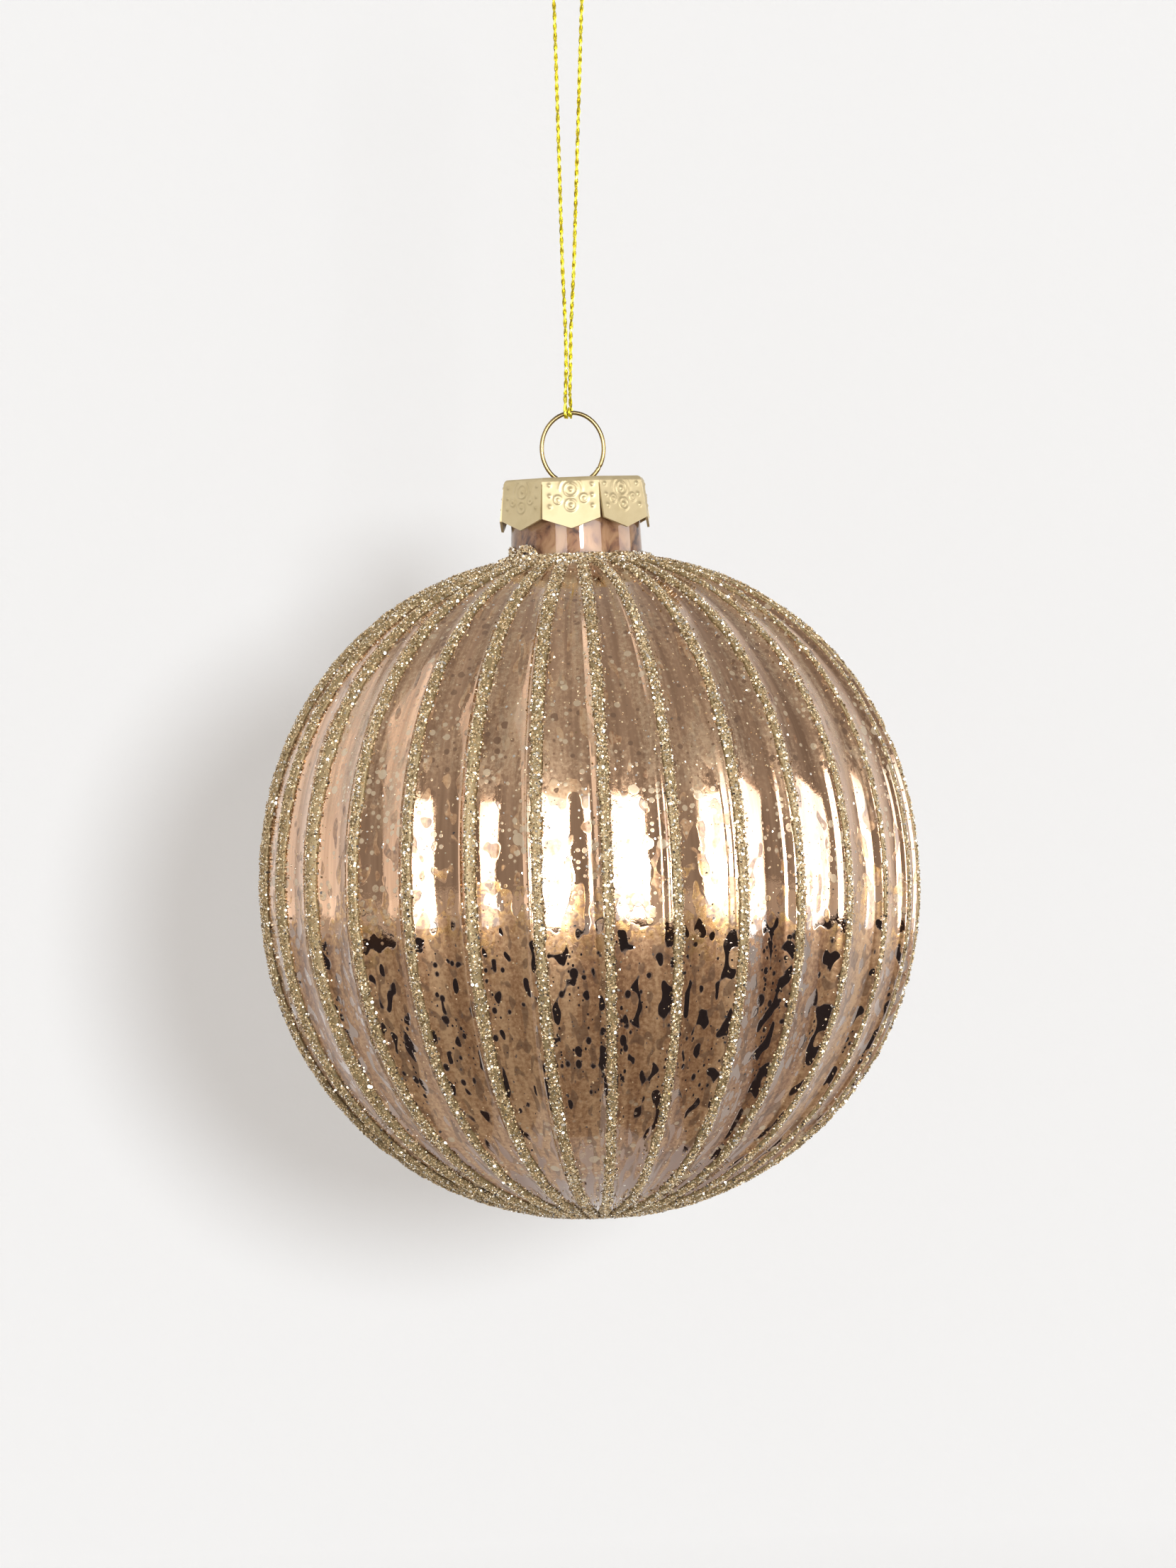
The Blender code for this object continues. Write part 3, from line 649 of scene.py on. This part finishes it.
def hitch_route():
    """Tight turns round the ring's wire, with both ends brought up to the strands."""
    winding = WIRE_RADIUS + CORD_DIAMETER / 2
    half_width = HITCH_PITCH * HITCH_TURNS / 2
    start = np.vstack([(-STRAND_HALF_GAP, 0.0, HITCH_TOP + 0.1 * MM), MM * np.array(HITCH_LEAD)])
    share = np.linspace(0, 1, 19)
    angle = pi / 2 + TURN * HITCH_TURNS * share
    along = half_width * (2 * share - 1)
    slope = RING_HALF_HEIGHT / RING_HALF_WIDTH * tan(HITCH_ANGLE)
    turns = zipped(along, -winding * np.sin(angle), winding * np.cos(angle) + slope * along)
    end = start[::-1] * np.array([-1.0, -1.0, 1.0])
    return np.vstack([start, turns, end]) + np.array(HITCH)


def knot_route():
    """A barrel knot: three touching turns round both strands, a little askew."""
    share = np.linspace(0, 1, 31)
    points = around(KNOT_RADIUS, TURN * KNOT_TURNS * share, CORD_DIAMETER * KNOT_TURNS * (share - 0.5))
    points[:, 2] += KNOT_HEIGHT + KNOT_SKEW * points[:, 0]
    return points


def cord_piece(name, foil, node, routes, body=None):
    """A piece of cord along routes, each with the spin of its plies."""
    shape = Shape()
    for route, spin in routes:
        add_cord(shape, route, spin)
    mesh = shape.mesh(name, smooth=False)
    return new_piece(name, mesh, [foil], body, nodes=[node])


def make_cord():
    foil = foil_material()
    cord_piece("hitch_turns", foil, "cord_hitch", [(smooth_route(hitch_route(), 150), 0.0)], "hitch")
    knotted = [(smooth_route(knot_route(), 150), 0.0)]
    for side in (-1, 1):
        tail = [(side * across * MM, side * TAIL_DEPTH, up * MM) for across, up in TAIL_ROUTE]
        knotted.append((smooth_route(tail, 40), side))
    knot = cord_piece("loop_knot", foil, "cord_knot", knotted, "cord")
    for side, name in ((-1, "left"), (1, "right")):
        route = strand_route(side)
        entry = MM * np.array(KNOT_ENTRY) * (side, side, 1)
        laid = smooth_route(np.vstack([entry, route]), 580)
        strand = cord_piece(f"strand_{name}", foil, f"cord_strand_{name}", [(laid, side)])
        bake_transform(strand)
        path = smooth_route(route, 40)[::-1]
        length = float(reach_along(path)[-1])


def crest_outline(latitude):
    """Radius and height of the rib crests at a latitude."""
    angle = np.radians(latitude)
    upper = latitude > 0
    power = np.where(upper, 2 / SHOULDER_FULLNESS, 2 / BASE_FULLNESS)
    height = np.where(upper, SHOULDER_HEIGHT, BASE_DEPTH) * np.sign(latitude)
    return BALL_RADIUS * np.cos(angle) ** power, height * np.abs(np.sin(angle)) ** power


def ridge(offset):
    reach = np.clip(1 - ((offset - RIDGE_OFFSET) / RIDGE_HALF_WIDTH) ** 2, 0.0, None)
    return RIDGE_HEIGHT * reach ** 2


def press(points, turn):
    """Hollow the ball between its crests, and add its ridges and waves."""
    radius = np.hypot(points[..., 0], points[..., 1])
    scale = radius / BALL_RADIUS
    start, full = FLUTE_FADE
    fade = np.where(points[..., 2] > 0, np.clip((radius - start) / (full - start), 0.0, 1.0), 1.0)
    across = turn / TURN * FLUTES
    whole = np.floor(across + 1e-6)
    flute, share = whole.astype(int) % FLUTES, across - whole
    hollow = FLUTE_DEPTH * FLUTE_CHANGE[flute] * 4 * share * (1 - share)
    inside = np.clip(np.minimum(share, 1 - share) / TURN_EDGE, 0.0, 1.0)
    hollow += np.tan(FLUTE_TURN[flute]) * FLUTE_WIDTH * (share - 0.5) * inside * inside * (3 - 2 * inside)
    rise = np.arctan2(points[..., 2], radius)
    waves = sum(size * MM * np.sin(lobes * turn + climb * rise + phase)
                for lobes, climb, phase, size in BLOWN_WAVES)
    width = FLUTE_WIDTH * np.sqrt(scale)
    ridges = ridge(share * width) + ridge((share - 1) * width)
    depth = (hollow + waves * np.sin(pi * share)) * scale - ridges * np.sqrt(scale)
    return points - unit(points) * (depth * fade)[..., None]


def glass_point(turn, latitude):
    """Points on the outside of the glass; turn 0 is the first rib's crest."""
    radius, height = crest_outline(latitude)
    return press(around(radius, turn + FIRST_CREST, height), turn)


def shell_outline():
    """(radius, height) from inside the base, over the rim and down; rows where the finish changes."""
    foot = [float(x) for x in crest_outline(np.array(NECK_FOOT_LATITUDE))]
    bore = NECK_RADIUS - NECK_WALL
    rim, inner_rim = NECK_RIM_RADIUS, NECK_RIM_RADIUS - NECK_WALL
    top = ((rim + inner_rim) / 2, RIM_HEIGHT)
    inside = zipped(*crest_outline(INSIDE_LATITUDES)) * (1 - GLASS_WALL / BALL_RADIUS)
    lip = RIM_HEIGHT - NECK_RIM_ROUND
    neck_inside = [(bore, NECK_FOOT_HEIGHT - 1.5 * MM), (bore, NECK_FOOT_HEIGHT), (inner_rim, lip)]
    over = np.vstack([bend((inner_rim, lip), (inner_rim, RIM_HEIGHT), top, 5)[1:],
                      bend(top, (rim, RIM_HEIGHT), (rim, lip), 5)[1:]])
    heights = np.linspace(lip, NECK_FOOT_HEIGHT, 12)[1:]
    outer = zipped(np.interp(heights, (NECK_FOOT_HEIGHT, lip), (NECK_RADIUS, rim)), heights)
    flare = bend((NECK_RADIUS, NECK_FOOT_HEIGHT), (NECK_RADIUS, foot[1] + 0.15 * MM), foot, 8)[1:]
    outside = zipped(*crest_outline(OUTSIDE_LATITUDES))
    outline = np.vstack([inside, neck_inside, over, outer, flare, outside])
    rim_row = len(inside) + len(neck_inside)
    return outline, (len(inside) - 1, rim_row, rim_row + len(over) + len(outer) + 3)


def lacquer_patches(graph, zone, share, chance, band, sleeve):
    """Lacquer below the widest line, with drips and holes; and its softer edge."""
    blot = graph.noise(640.0, 0.0, 0.5, sleeve)
    level = graph.curve(zone, *LACQUER_LEVEL)
    beside = graph.curve(share, *DRIP_PLACES)
    drips = graph.product(beside, graph.curve(zone, (0.2, 0.085), (0.42, 0.075), (0.47, 0.0)))
    uneven = graph.total(drips, graph.span(chance, 0.0, 1.0, -0.05, 0.05))
    above = graph.math("SUBTRACT", blot, graph.total(level, uneven))
    crisp = graph.span(zone, 0.1, 0.2, 8.0, 40.0)
    patch = graph.math("ADD", graph.product(above, crisp), 0.5, clamp=True)
    soft = graph.math("ADD", graph.product(above, 10.0), 0.5, clamp=True)
    cluster = graph.span(graph.noise(150.0, 1.0, 0.5, sleeve), 0.38, 0.62, 0.45, 1.35)
    drop = graph.product(band, cluster, graph.span(chance, 0.0, 1.0, 0.6, 1.1))
    tall = graph.wrapped(0.8)
    hole = graph.most(*(graph.spots(scale, largest, drop, tall) for scale, largest in HOLES))
    return graph.product(patch, graph.rest(hole)), soft


def mercury_material():
    """Copper-tinted silvering: clean above, lacquer with holes below, and clean at the base."""
    graph = Graph("mercury_glass")
    product, total, most, rest = graph.product, graph.total, graph.most, graph.rest
    span, curve, noise, blend = graph.span, graph.curve, graph.noise, graph.blend
    place = graph.parts(graph.place)
    angle = graph.math("SUBTRACT", graph.math("ARCTAN2", place["Y"], place["X"]), FIRST_CREST)
    across = product(angle, FLUTES / TURN)
    share, flute = graph.math("FRACT", across), graph.math("FLOOR", across)
    chance = graph.add("TexWhiteNoise", {"W": flute}, noise_dimensions="1D").outputs["Value"]
    wander = span(noise(90.0, 2.0), 0.3, 0.7, -ZONE_WANDER, ZONE_WANDER)
    zone = span(total(place["Z"], wander), -ZONE_REACH, ZONE_REACH)
    band = curve(zone, (0.12, 0.0), (0.2, 1.0), (0.42, 1.0), (0.47, 0.0))
    sleeve = graph.wrapped(0.6)
    streak = noise(420.0, 3.0, 0.6, graph.wrapped(0.05))
    fine = noise(1700.0, 3.0, 0.65)
    mixed = total(product(fine, 0.5), product(streak, 0.5))

    # What covers the mirror: lacquer below, cream spots, and a ragged film above with bubbles in it
    patch, soft = lacquer_patches(graph, zone, share, chance, band, sleeve)
    crowd = span(noise(85.0, 2.0), 0.42, 0.6, 0.55, 1.6)
    thin = product(crowd, span(zone, 0.62, 0.85, 1.0, 0.7))
    spot = most(*(graph.spots(scale, largest, thin) for scale, largest in CREAM_SPOTS))
    bubble = graph.spots(820.0, 0.46, span(noise(140.0, 1.0), 0.4, 0.6, 0.4, 1.3))
    smear = noise(300.0, 4.0, 0.7, graph.wrapped(0.16), 0.6)
    ragged = total(product(smear, 0.7), product(fine, 0.3))
    film = product(curve(ragged, (0.44, 0.0), (0.49, 0.45), (0.58, 0.8)), span(zone, 0.58, 0.68))
    film = product(film, rest(product(bubble, 0.8)))
    lacquer = most(patch, most(film, product(spot, 0.9, rest(band))))

    # Mirror: streaked copper, greyer in the holes and at the base
    mirror = graph.ramp(streak, (0.32, 0.68), MIRROR)
    mirror = blend(product(band, 0.75), mirror, HOLE_MIRROR)
    mirror = blend(span(zone, 0.1, 0.2, 1.0, 0.0), mirror, BASE_MIRROR)
    mirror = blend(product(bubble, span(zone, 0.57, 0.66, 0.0, 0.6)), mirror, BUBBLE_MIRROR)

    # Paint: tan below; at the widest line gold crumbs, a painted highlight band where the lamps' highlights
    # end, though metallic and smooth enough to catch real light too; and cream above and at the base
    uneven = total(mixed, span(chance, 0.0, 1.0, 0.06, -0.04))
    tawny = graph.ramp(uneven, (0.36, 0.5, 0.64), TAN)
    stain = curve(noise(800.0, 0.0, 0.5, sleeve, 0.3), (0.36, 1.0), (0.42, 0.0))
    tawny = blend(product(stain, 0.6), tawny, STAIN)
    gold = graph.ramp(mixed, (0.35, 0.65), PAINTED_GLINT_GOLD)
    cream = graph.ramp(fine, (0.3, 0.7), CREAM)
    # Painted highlight: a band of bright gold crumbs at and just under the widest line, where the lamps'
    # highlights end; they are also more metallic and smoother, so they catch real reflections too
    crumbs = curve(noise(900.0, 1.0, 0.5, None, 0.9), (0.46, 0.0), (0.55, 1.0))
    painted_glint_band = product(curve(zone, (0.4, 0.0), (0.46, 1.0), (0.5, 1.0), (0.55, 0.0)), crumbs)
    creamy = most(span(zone, 0.44, 0.56), span(zone, 0.2, 0.12))
    pale = most(spot, product(film, 0.9))
    paint = blend(painted_glint_band, blend(product(pale, creamy), tawny, cream), gold)
    paint = blend(product(spot, product(creamy, 0.7)), paint, PALE_CREAM)

    matt = product(lacquer, span(painted_glint_band, 0.0, 1.0, 0.3, 0.2))
    bare = product(lacquer, span(painted_glint_band, 0.0, 1.0, 0.6, 0.2))
    relief = total(product(soft, 0.5), product(mixed, 0.45), product(spot, 0.25))
    return graph.finish({
        "Base Color": blend(lacquer, mirror, paint), "Metallic": rest(bare),
        "Roughness": total(matt, span(fine, 0.3, 0.7, 0.02, 0.06)),
        "Normal": graph.bump(relief, 0.36, 0.1 * MM),
        "Coat Weight": 1.0, "Coat Roughness": 0.03, "Coat IOR": 1.5,
    })


def neck_glass_material():
    graph = Graph("clear_neck_glass")
    return graph.finish({"Base Color": NECK_TINT, "Transmission Weight": 1.0, "Roughness": 0.0, "IOR": 1.45})


def neck_lacquer_material():
    """Copper lacquer, brushed thinly on the inside of the neck."""
    graph = Graph("neck_lacquer")
    brushed = graph.noise(330.0, 4.0, 0.6, graph.stretched((1.0, 1.0, 0.7)), 0.8)
    tint = graph.ramp(brushed, (0.38, 0.46, 0.55, 0.7), NECK_COPPER)
    return graph.finish({"Base Color": tint, "Metallic": 0.2, "Roughness": 0.4})


def make_ball():
    outline, (neck_inside, rim, foot) = shell_outline()
    turn = (TURN / FLUTES * (np.arange(FLUTES)[:, None] + COLUMN_SHARES)).ravel()
    points = around(outline[:, :1], turn + FIRST_CREST, outline[:, 1:])
    points = press(points, np.broadcast_to(turn, points.shape[:2]))
    columns = len(turn)
    row = np.repeat(np.arange(len(outline) - 1), columns)
    slots = np.select([row < neck_inside, row < rim, row < foot], [0, 2, 1], 0)
    shape = Shape()
    shape.add(points, grid_faces(len(outline), columns, wrap=True)[:, ::-1], slots)
    mesh = shape.mesh("ball_shell")
    close_poles(mesh)
    materials = [mercury_material(), neck_glass_material(), neck_lacquer_material()]
    new_piece("ball_shell", mesh, materials, "ball", BALL_CENTRE, ["glass_ball"])


def close_poles(mesh):
    """Fill the small holes at the bottom pole, inside and out, and point all faces out."""
    shape = bmesh.new()
    shape.from_mesh(mesh)
    rims = [edge for edge in shape.edges if edge.is_boundary]
    bmesh.ops.holes_fill(shape, edges=rims)
    bmesh.ops.recalc_face_normals(shape, faces=shape.faces)
    shape.to_mesh(mesh)
    shape.free()


def glitter_materials():
    found = [Graph("glitter_glue").finish({"Base Color": GLUE, "Metallic": 0.3, "Roughness": 0.45})]
    for index, (tint, metal, rough, _, _) in enumerate(FLAKE_TONES):
        graph = Graph(f"glitter_flake_{index + 1}")
        found.append(graph.finish({"Base Color": tint, "Metallic": metal, "Roughness": rough}))
    return found


def glitter_piece(name, shape, materials, *nodes):
    new_piece(name, shape.mesh(name), materials, "ball", BALL_CENTRE, nodes)


def tilted(normals, amount):
    return unit(normals + rng.normal(scale=amount, size=normals.shape))


def flake_sizes(count, sizes):
    return rng.uniform(*sizes, count) * MM


def add_flakes(shape, places, normals, sizes, shares=None):
    """Small six-sided chips: a flat face with a point under it, sunk in the glue."""
    count = len(places)
    shares = np.array(shares or [tone[-1] for tone in FLAKE_TONES])
    tone = rng.choice(len(FLAKE_TONES), count, p=shares / sum(shares))
    size = (sizes * np.array([tone[-2] for tone in FLAKE_TONES])[tone])[:, None]
    first = unit(np.cross(normals, rng.normal(size=(count, 3))))
    second = np.cross(normals, first)
    edge = np.arange(FLAKE_SIDES)
    corners = [places + size * (cos(angle) * first + sin(angle) * second)
               for angle in TURN * edge / FLAKE_SIDES]
    points = np.stack(corners + [places - FLAKE_POINT * size * normals], axis=1)
    base = (FLAKE_SIDES + 1) * np.arange(count)[:, None]
    sides = zipped((edge + 1) % FLAKE_SIDES, edge, FLAKE_SIDES)
    shape.add(points, base + edge, tone + 1)
    shape.add_faces((base[:, None] + sides).reshape(-1, 3), np.repeat(tone + 1, FLAKE_SIDES))


def rib_frames(latitude, turn):
    """Outward and sideways vectors of a rib at latitudes."""
    step = 0.05
    angle = turn + FIRST_CREST
    before, after = crest_outline(latitude + step), crest_outline(latitude - step)
    along = unit(zipped(after[0] - before[0], after[1] - before[1]))
    out = around(-along[:, 1], angle, along[:, 0])
    return out, np.broadcast_to([-sin(angle), cos(angle), 0.0], out.shape)


def make_rib_glitter(index, latitudes, reach, materials):
    turn = TURN * index / FLUTES
    start, end = (rng.uniform(0.0, most) for most in LINE_SHORT)
    start, end = reach[-1] * start, reach[-1] * (1 - end)
    knots = np.linspace(0, 1, LINE_KNOTS)
    swell, rise, drift = (rng.normal(scale=scale, size=LINE_KNOTS) for scale in LINE_UNEVEN)

    def bead(share, across):
        """Places and normals at shares of the line's length and half width."""
        latitude = np.interp(start + share * (end - start), reach, latitudes)
        out, side = rib_frames(latitude, turn)
        radius = crest_outline(latitude)[0]
        spacing = TURN * radius / FLUTES
        width = np.interp(latitude, LINE_BELOW_ABOVE, LINE_HALF_WIDTHS)
        width = np.minimum(width, LINE_CROWDING * spacing) * (1 + np.interp(share, knots, swell))
        tall = LINE_HEIGHT * (1 + np.interp(share, knots, rise))
        dome = np.sqrt(np.clip(1 - across ** 2, 0.0, 1.0))
        shift = LINE_SHIFT * spacing / FLUTE_WIDTH + np.interp(share, knots, drift)
        glass = glass_point(turn + (across * width + shift) / radius, latitude)
        slope = np.clip(tall * across / np.maximum(dome, 0.3) / width, -1.5, 1.5)
        return glass + out * (tall * dome + GLUE_LIFT)[:, None], unit(out + side * slope[:, None])

    shape = Shape()
    rows, columns = LINE_GRID
    share, across = np.meshgrid(np.linspace(0, 1, rows), np.linspace(-1.0, 1.0, columns), indexing="ij")
    top = bead(share.ravel(), across.ravel())[0].reshape(rows, columns, 3)
    keel = 0.5 * (top[:, :1] + top[:, -1:])
    shape.add(np.concatenate([top, keel], axis=1), grid_faces(rows, columns + 1, wrap=True))
    share = rng.random(LINE_FLAKES)
    frayed = rng.uniform(size=LINE_FLAKES) < LINE_FRAYED
    across = rng.uniform(-1.05, 1.05, LINE_FLAKES)
    across = np.where(frayed, np.clip(rng.normal(size=LINE_FLAKES), -1.9, 1.9), across)
    places, normals = bead(share, across)
    add_flakes(shape, places + LINE_FLAKE_LIFT * normals, tilted(normals, 0.5),
               flake_sizes(LINE_FLAKES, LINE_FLAKE_SIZES))
    glitter_piece(f"rib_glitter_{index + 1:02d}", shape, materials, f"glitter_line_{index + 1:02d}")


def make_glitter():
    materials = glitter_materials()
    latitudes = np.linspace(*LINE_LATITUDES, 500)
    reach = reach_along(zipped(*crest_outline(latitudes)))
    for index in range(FLUTES):
        make_rib_glitter(index, latitudes, reach, materials)
    make_collar(materials)
    make_base_patch(materials)
    make_stray_flakes(materials)


def ring_of_glue(shape, outline, columns=180):
    """A bumpy turned band with an outline of (radius, height) points."""
    angle = TURN * np.arange(columns) / columns
    bumps = 1 + 0.006 * np.sin(17 * angle + 0.3) + 0.005 * np.sin(41 * angle + 1.1)
    points = around(outline[:, :1] * bumps, angle, outline[:, 1:])
    shape.add(points, grid_faces(len(outline), columns, wrap=True))


def make_collar(materials):
    """Glitter where the ribs end, with a few loops drawn up on the neck."""
    shape = Shape()
    foot = crest_outline(np.array(NECK_FOOT_LATITUDE))
    low = crest_outline(np.array(COLLAR_LATITUDE))
    outline = bend((low[0], low[1] - 0.1 * MM), (foot[0] + 0.35 * MM, foot[1] + 0.6 * MM),
                   (NECK_RADIUS - 0.1 * MM, foot[1] + 1.1 * MM), COLLAR_ROWS)
    ring_of_glue(shape, outline)
    share = rng.uniform(-0.05, 1.0, COLLAR_FLAKES)
    angle = rng.uniform(0.0, TURN, COLLAR_FLAKES)
    radius, height = (np.interp(share, np.linspace(0, 1, COLLAR_ROWS), outline[:, i]) for i in range(2))
    lift = np.abs(0.5 + 0.3 * rng.normal(size=COLLAR_FLAKES)) * 0.28 * MM
    out = unit(around(1.0, angle, 1.0 - 0.8 * share))
    places = around(radius, angle, height) + out * lift[:, None]
    add_flakes(shape, places, tilted(out, 0.75), flake_sizes(COLLAR_FLAKES, COLLAR_FLAKE_SIZES))
    for place, half_width, rise in ARCHES:
        t = rng.random(ARCH_FLAKES)
        angle = np.radians(place + half_width * np.cos(pi * t))
        angle += rng.normal(scale=0.04, size=ARCH_FLAKES)
        filled = np.sin(pi * t) ** 0.7 * rng.uniform(0.55, 1.0, ARCH_FLAKES)
        height = foot[1] + 0.6 * MM + rise * MM * filled
        radius = NECK_RADIUS + 0.1 * MM + np.abs(rng.normal(scale=0.12 * MM, size=ARCH_FLAKES))
        add_flakes(shape, around(radius, angle, height), tilted(around(1.0, angle, 0.0), 0.4),
                   flake_sizes(ARCH_FLAKES, PATCH_FLAKE_SIZES))
    glitter_piece("collar_glitter", shape, materials, "glitter_collar")


def make_base_patch(materials):
    shape = Shape()
    latitudes, thickness = np.array(BASE_GLUE).T
    radius, height = crest_outline(latitudes)
    ring_of_glue(shape, zipped(radius, height - thickness * MM), 90)
    angle = rng.uniform(0.0, TURN, BASE_FLAKES)
    reach = BASE_PATCH_RADIUS * np.sqrt(rng.random(BASE_FLAKES)) * (1 + 0.12 * np.sin(9 * angle))
    drop = -BASE_DEPTH + 0.45 * reach ** 2 / BALL_RADIUS - 0.42 * MM
    down = np.broadcast_to([0.0, 0.0, -1.0], (BASE_FLAKES, 3))
    add_flakes(shape, around(reach, angle, drop), tilted(down, 0.4),
               flake_sizes(BASE_FLAKES, PATCH_FLAKE_SIZES))
    glitter_piece("base_glitter", shape, materials, "glitter_base")


def make_stray_flakes(materials):
    """Loose flakes stuck to the glass: most near the ribs and above the widest line."""
    turn = rng.uniform(0.0, TURN, STRAY_TRIES)
    latitude = np.degrees(np.arcsin(rng.uniform(-0.98, 0.97, STRAY_TRIES)))
    share = turn / TURN * FLUTES % 1.0
    from_rib = np.minimum(share, 1 - share)
    likely = (0.15 + 0.75 * np.exp(-from_rib / 0.1)) * np.where(latitude > -4, 1.0, 0.45)
    cluster = 0.5 + 0.5 * np.sin(3 * turn + 0.7) * np.sin(np.radians(3 * latitude) + 0.4)
    kept = rng.random(STRAY_TRIES) < likely * (0.4 + cluster)
    places = glass_point(turn[kept], latitude[kept])
    normals = unit(places)
    sizes = flake_sizes(len(places), STRAY_FLAKE_SIZES)
    shape = Shape()
    add_flakes(shape, places + 0.02 * MM * normals, tilted(normals, 0.25), sizes, STRAY_SHARES)
    glitter_piece("stray_glitter", shape, materials)


def swelling(distance, height, width):
    return height * np.exp(-(distance / width) ** 2)


def embossing(across, drop):
    """Height of the stamped pattern: ringed bosses in a diamond, and dots by each edge."""
    across, drop = across / MM, drop / MM
    height = 0 * across
    for x, z, ring in BOSSES:
        reach = np.hypot(across - x, drop - z)
        height += swelling(reach, *BOSS_SWELL) + swelling(reach - ring, *BOSS_RING_SWELL)
    x, z, _ = BOSSES[0]
    arc = swelling(np.hypot(across - x, drop - z) - ARC_RADIUS, *ARC_SWELL)
    height += arc * np.clip((z + 0.5 - drop) / 0.6, 0.0, 1.0)
    for x, z in DOTS:
        height += swelling(np.hypot(across - x, drop - z), *DOT_SWELL)
    return height * MM


def petal_points(flare, curl):
    """Rows of points from the cap's flat top down one petal; outward is +X."""
    corner = tan(pi / CAP_SIDES)
    t = np.linspace(-1.0, 1.0, PETAL_COLUMNS)
    inset = CAP_TOP_REACH - CAP_EDGE_RADIUS - CAP_RIM
    rows = [zipped(inset, t * inset * corner, 0.0)]
    for angle in np.linspace(0.0, pi / 2, 7)[:-1]:
        reach = CAP_TOP_REACH - CAP_EDGE_RADIUS * (1 - sin(angle))
        drop = CAP_EDGE_RADIUS * (1 - cos(angle))
        rows.append(zipped(reach, t * reach * corner, -drop))
    bottom = PETAL_TIP - (PETAL_TIP - PETAL_SIDE) * np.abs(t)
    for s in np.linspace(0, 1, PETAL_ROWS):
        drop = CAP_EDGE_RADIUS + s * (bottom - CAP_EDGE_RADIUS)
        low = np.clip((drop - SLIT_TOP) / (PETAL_TIP - SLIT_TOP), 0.0, 1.0)
        reach = CAP_TOP_REACH + (CAP_BASE_REACH - CAP_TOP_REACH) * drop / PETAL_TIP
        slit = np.where(drop > SLIT_TOP, np.interp(drop, (SLIT_TOP, PETAL_SIDE), SLIT_WIDTHS), 0.0)
        across = t * (reach * corner - slit / 2)
        out = reach + (flare + curl * t) * low ** PETAL_BEND + embossing(across, drop)
        rows.append(zipped(out, across, -drop))
    return np.stack(rows)


def brass_material(name, tint, worn, rough, metal):
    graph = Graph(name)
    patina = graph.noise(BRASS_GRAIN, 4.0, 0.62)
    drawn = graph.noise(5 * BRASS_GRAIN, 2.0, 0.5, graph.stretched((1.0, 1.0, 0.12)))
    gloss = graph.span(graph.noise(1.7 * BRASS_GRAIN, 3.0), 0.3, 0.7, *rough)
    return graph.finish({
        "Base Color": graph.ramp(patina, (0.32, 0.55), (worn, tint)), "Metallic": metal, "Roughness": gloss,
        "Normal": graph.bump(drawn, 0.08, 0.05 * MM),
    })


def make_cap():
    shape = Shape()
    for k in range(CAP_SIDES):
        angle = CAP_TURN + TURN * k / CAP_SIDES
        flare = curl = 0.0
        if k > 0:
            flare, curl = rng.uniform(*PETAL_FLARES), rng.uniform(-PETAL_CURL, PETAL_CURL)
        if k == LIFTED_PETAL:
            flare = PETAL_LIFT
        cosine, sine = cos(angle), sin(angle)
        points = petal_points(flare, curl) @ np.array([(cosine, sine, 0), (-sine, cosine, 0), (0, 0, 1)])
        shape.add(points, grid_faces(len(points), PETAL_COLUMNS))
    mesh = shape.mesh("cap_sheet")
    fill_cap_top(mesh)
    brass = brass_material("pale_brass_sheet", *CAP_BRASS, rough=(0.38, 0.48), metal=0.5)
    cap = new_piece("cap_sheet", mesh, [brass], "hanger", CAP_TOP, ["crown_cap"])
    sheet = cap.modifiers.new("sheet", "SOLIDIFY")
    sheet.thickness = CAP_SHEET
    sheet.offset = -1.0


def fill_cap_top(mesh):
    """Weld the petals above their slits and close the top round its two holes."""
    shape = bmesh.new()
    shape.from_mesh(mesh)
    bmesh.ops.remove_doubles(shape, verts=shape.verts, dist=0.004 * MM)
    loops = [edge for edge in shape.edges
             if edge.is_boundary and all(corner.co.z > -0.001 * MM for corner in edge.verts)]
    hole = around(LEG_HOLE_RADIUS, TURN * np.arange(LEG_HOLE_SIDES) / LEG_HOLE_SIDES, 0.0)
    for side in (-1, 1):
        ring = [shape.verts.new(point) for point in hole + np.array([side * LEG_HOLE_X, 0.0, 0.0])]
        loops += [shape.edges.new((ring[k - 1], ring[k])) for k in range(LEG_HOLE_SIDES)]
    bmesh.ops.triangle_fill(shape, edges=loops, use_beauty=True, normal=(0.0, 0.0, 1.0))
    bmesh.ops.recalc_face_normals(shape, faces=shape.faces)
    for face in shape.faces:
        face.smooth = True
    for edge in shape.edges:
        edge.smooth = not edge.is_boundary and edge.calc_face_angle(0.0) < CAP_SHARP
    shape.to_mesh(mesh)
    shape.free()


def make_hanger():
    """One wire: the ring's right half and leg, and their mirror image without the nick."""
    angles = np.linspace(pi / 2, -RING_OPENING, 90)
    up = RING_ABOVE_CAP + RING_HALF_HEIGHT * np.sin(angles)
    right = zipped(RING_HALF_WIDTH * np.cos(angles), 0.0, up)
    leg = smooth_route([right[-1]] + [(x * MM, 0.0, z * MM) for x, z in LEG_ROUTE], 90)
    half = np.vstack([right, leg[1:]])
    route = np.vstack([half[:0:-1] * np.array([-1.0, 1.0, 1.0]), half])
    nick = np.zeros(len(route))
    nick[len(half) - 1:][:len(angles)] = swelling(angles - RING_PINCH, RING_PINCH_DEPTH, RING_PINCH_WIDTH)
    shape = Shape()
    add_tube(shape, route, WIRE_RADIUS * (1 - nick), WIRE_SIDES)
    brass = brass_material("antique_brass_wire", *WIRE_BRASS, rough=(0.22, 0.3), metal=1.0)
    mesh = shape.mesh("hanger_ring")
    new_piece("hanger_ring", mesh, [brass], "hanger", CAP_TOP, ["hanger_wire"])


make_camera()
make_cord()
make_world()
make_stage()
make_ball()
make_glitter()
make_cap()
make_hanger()
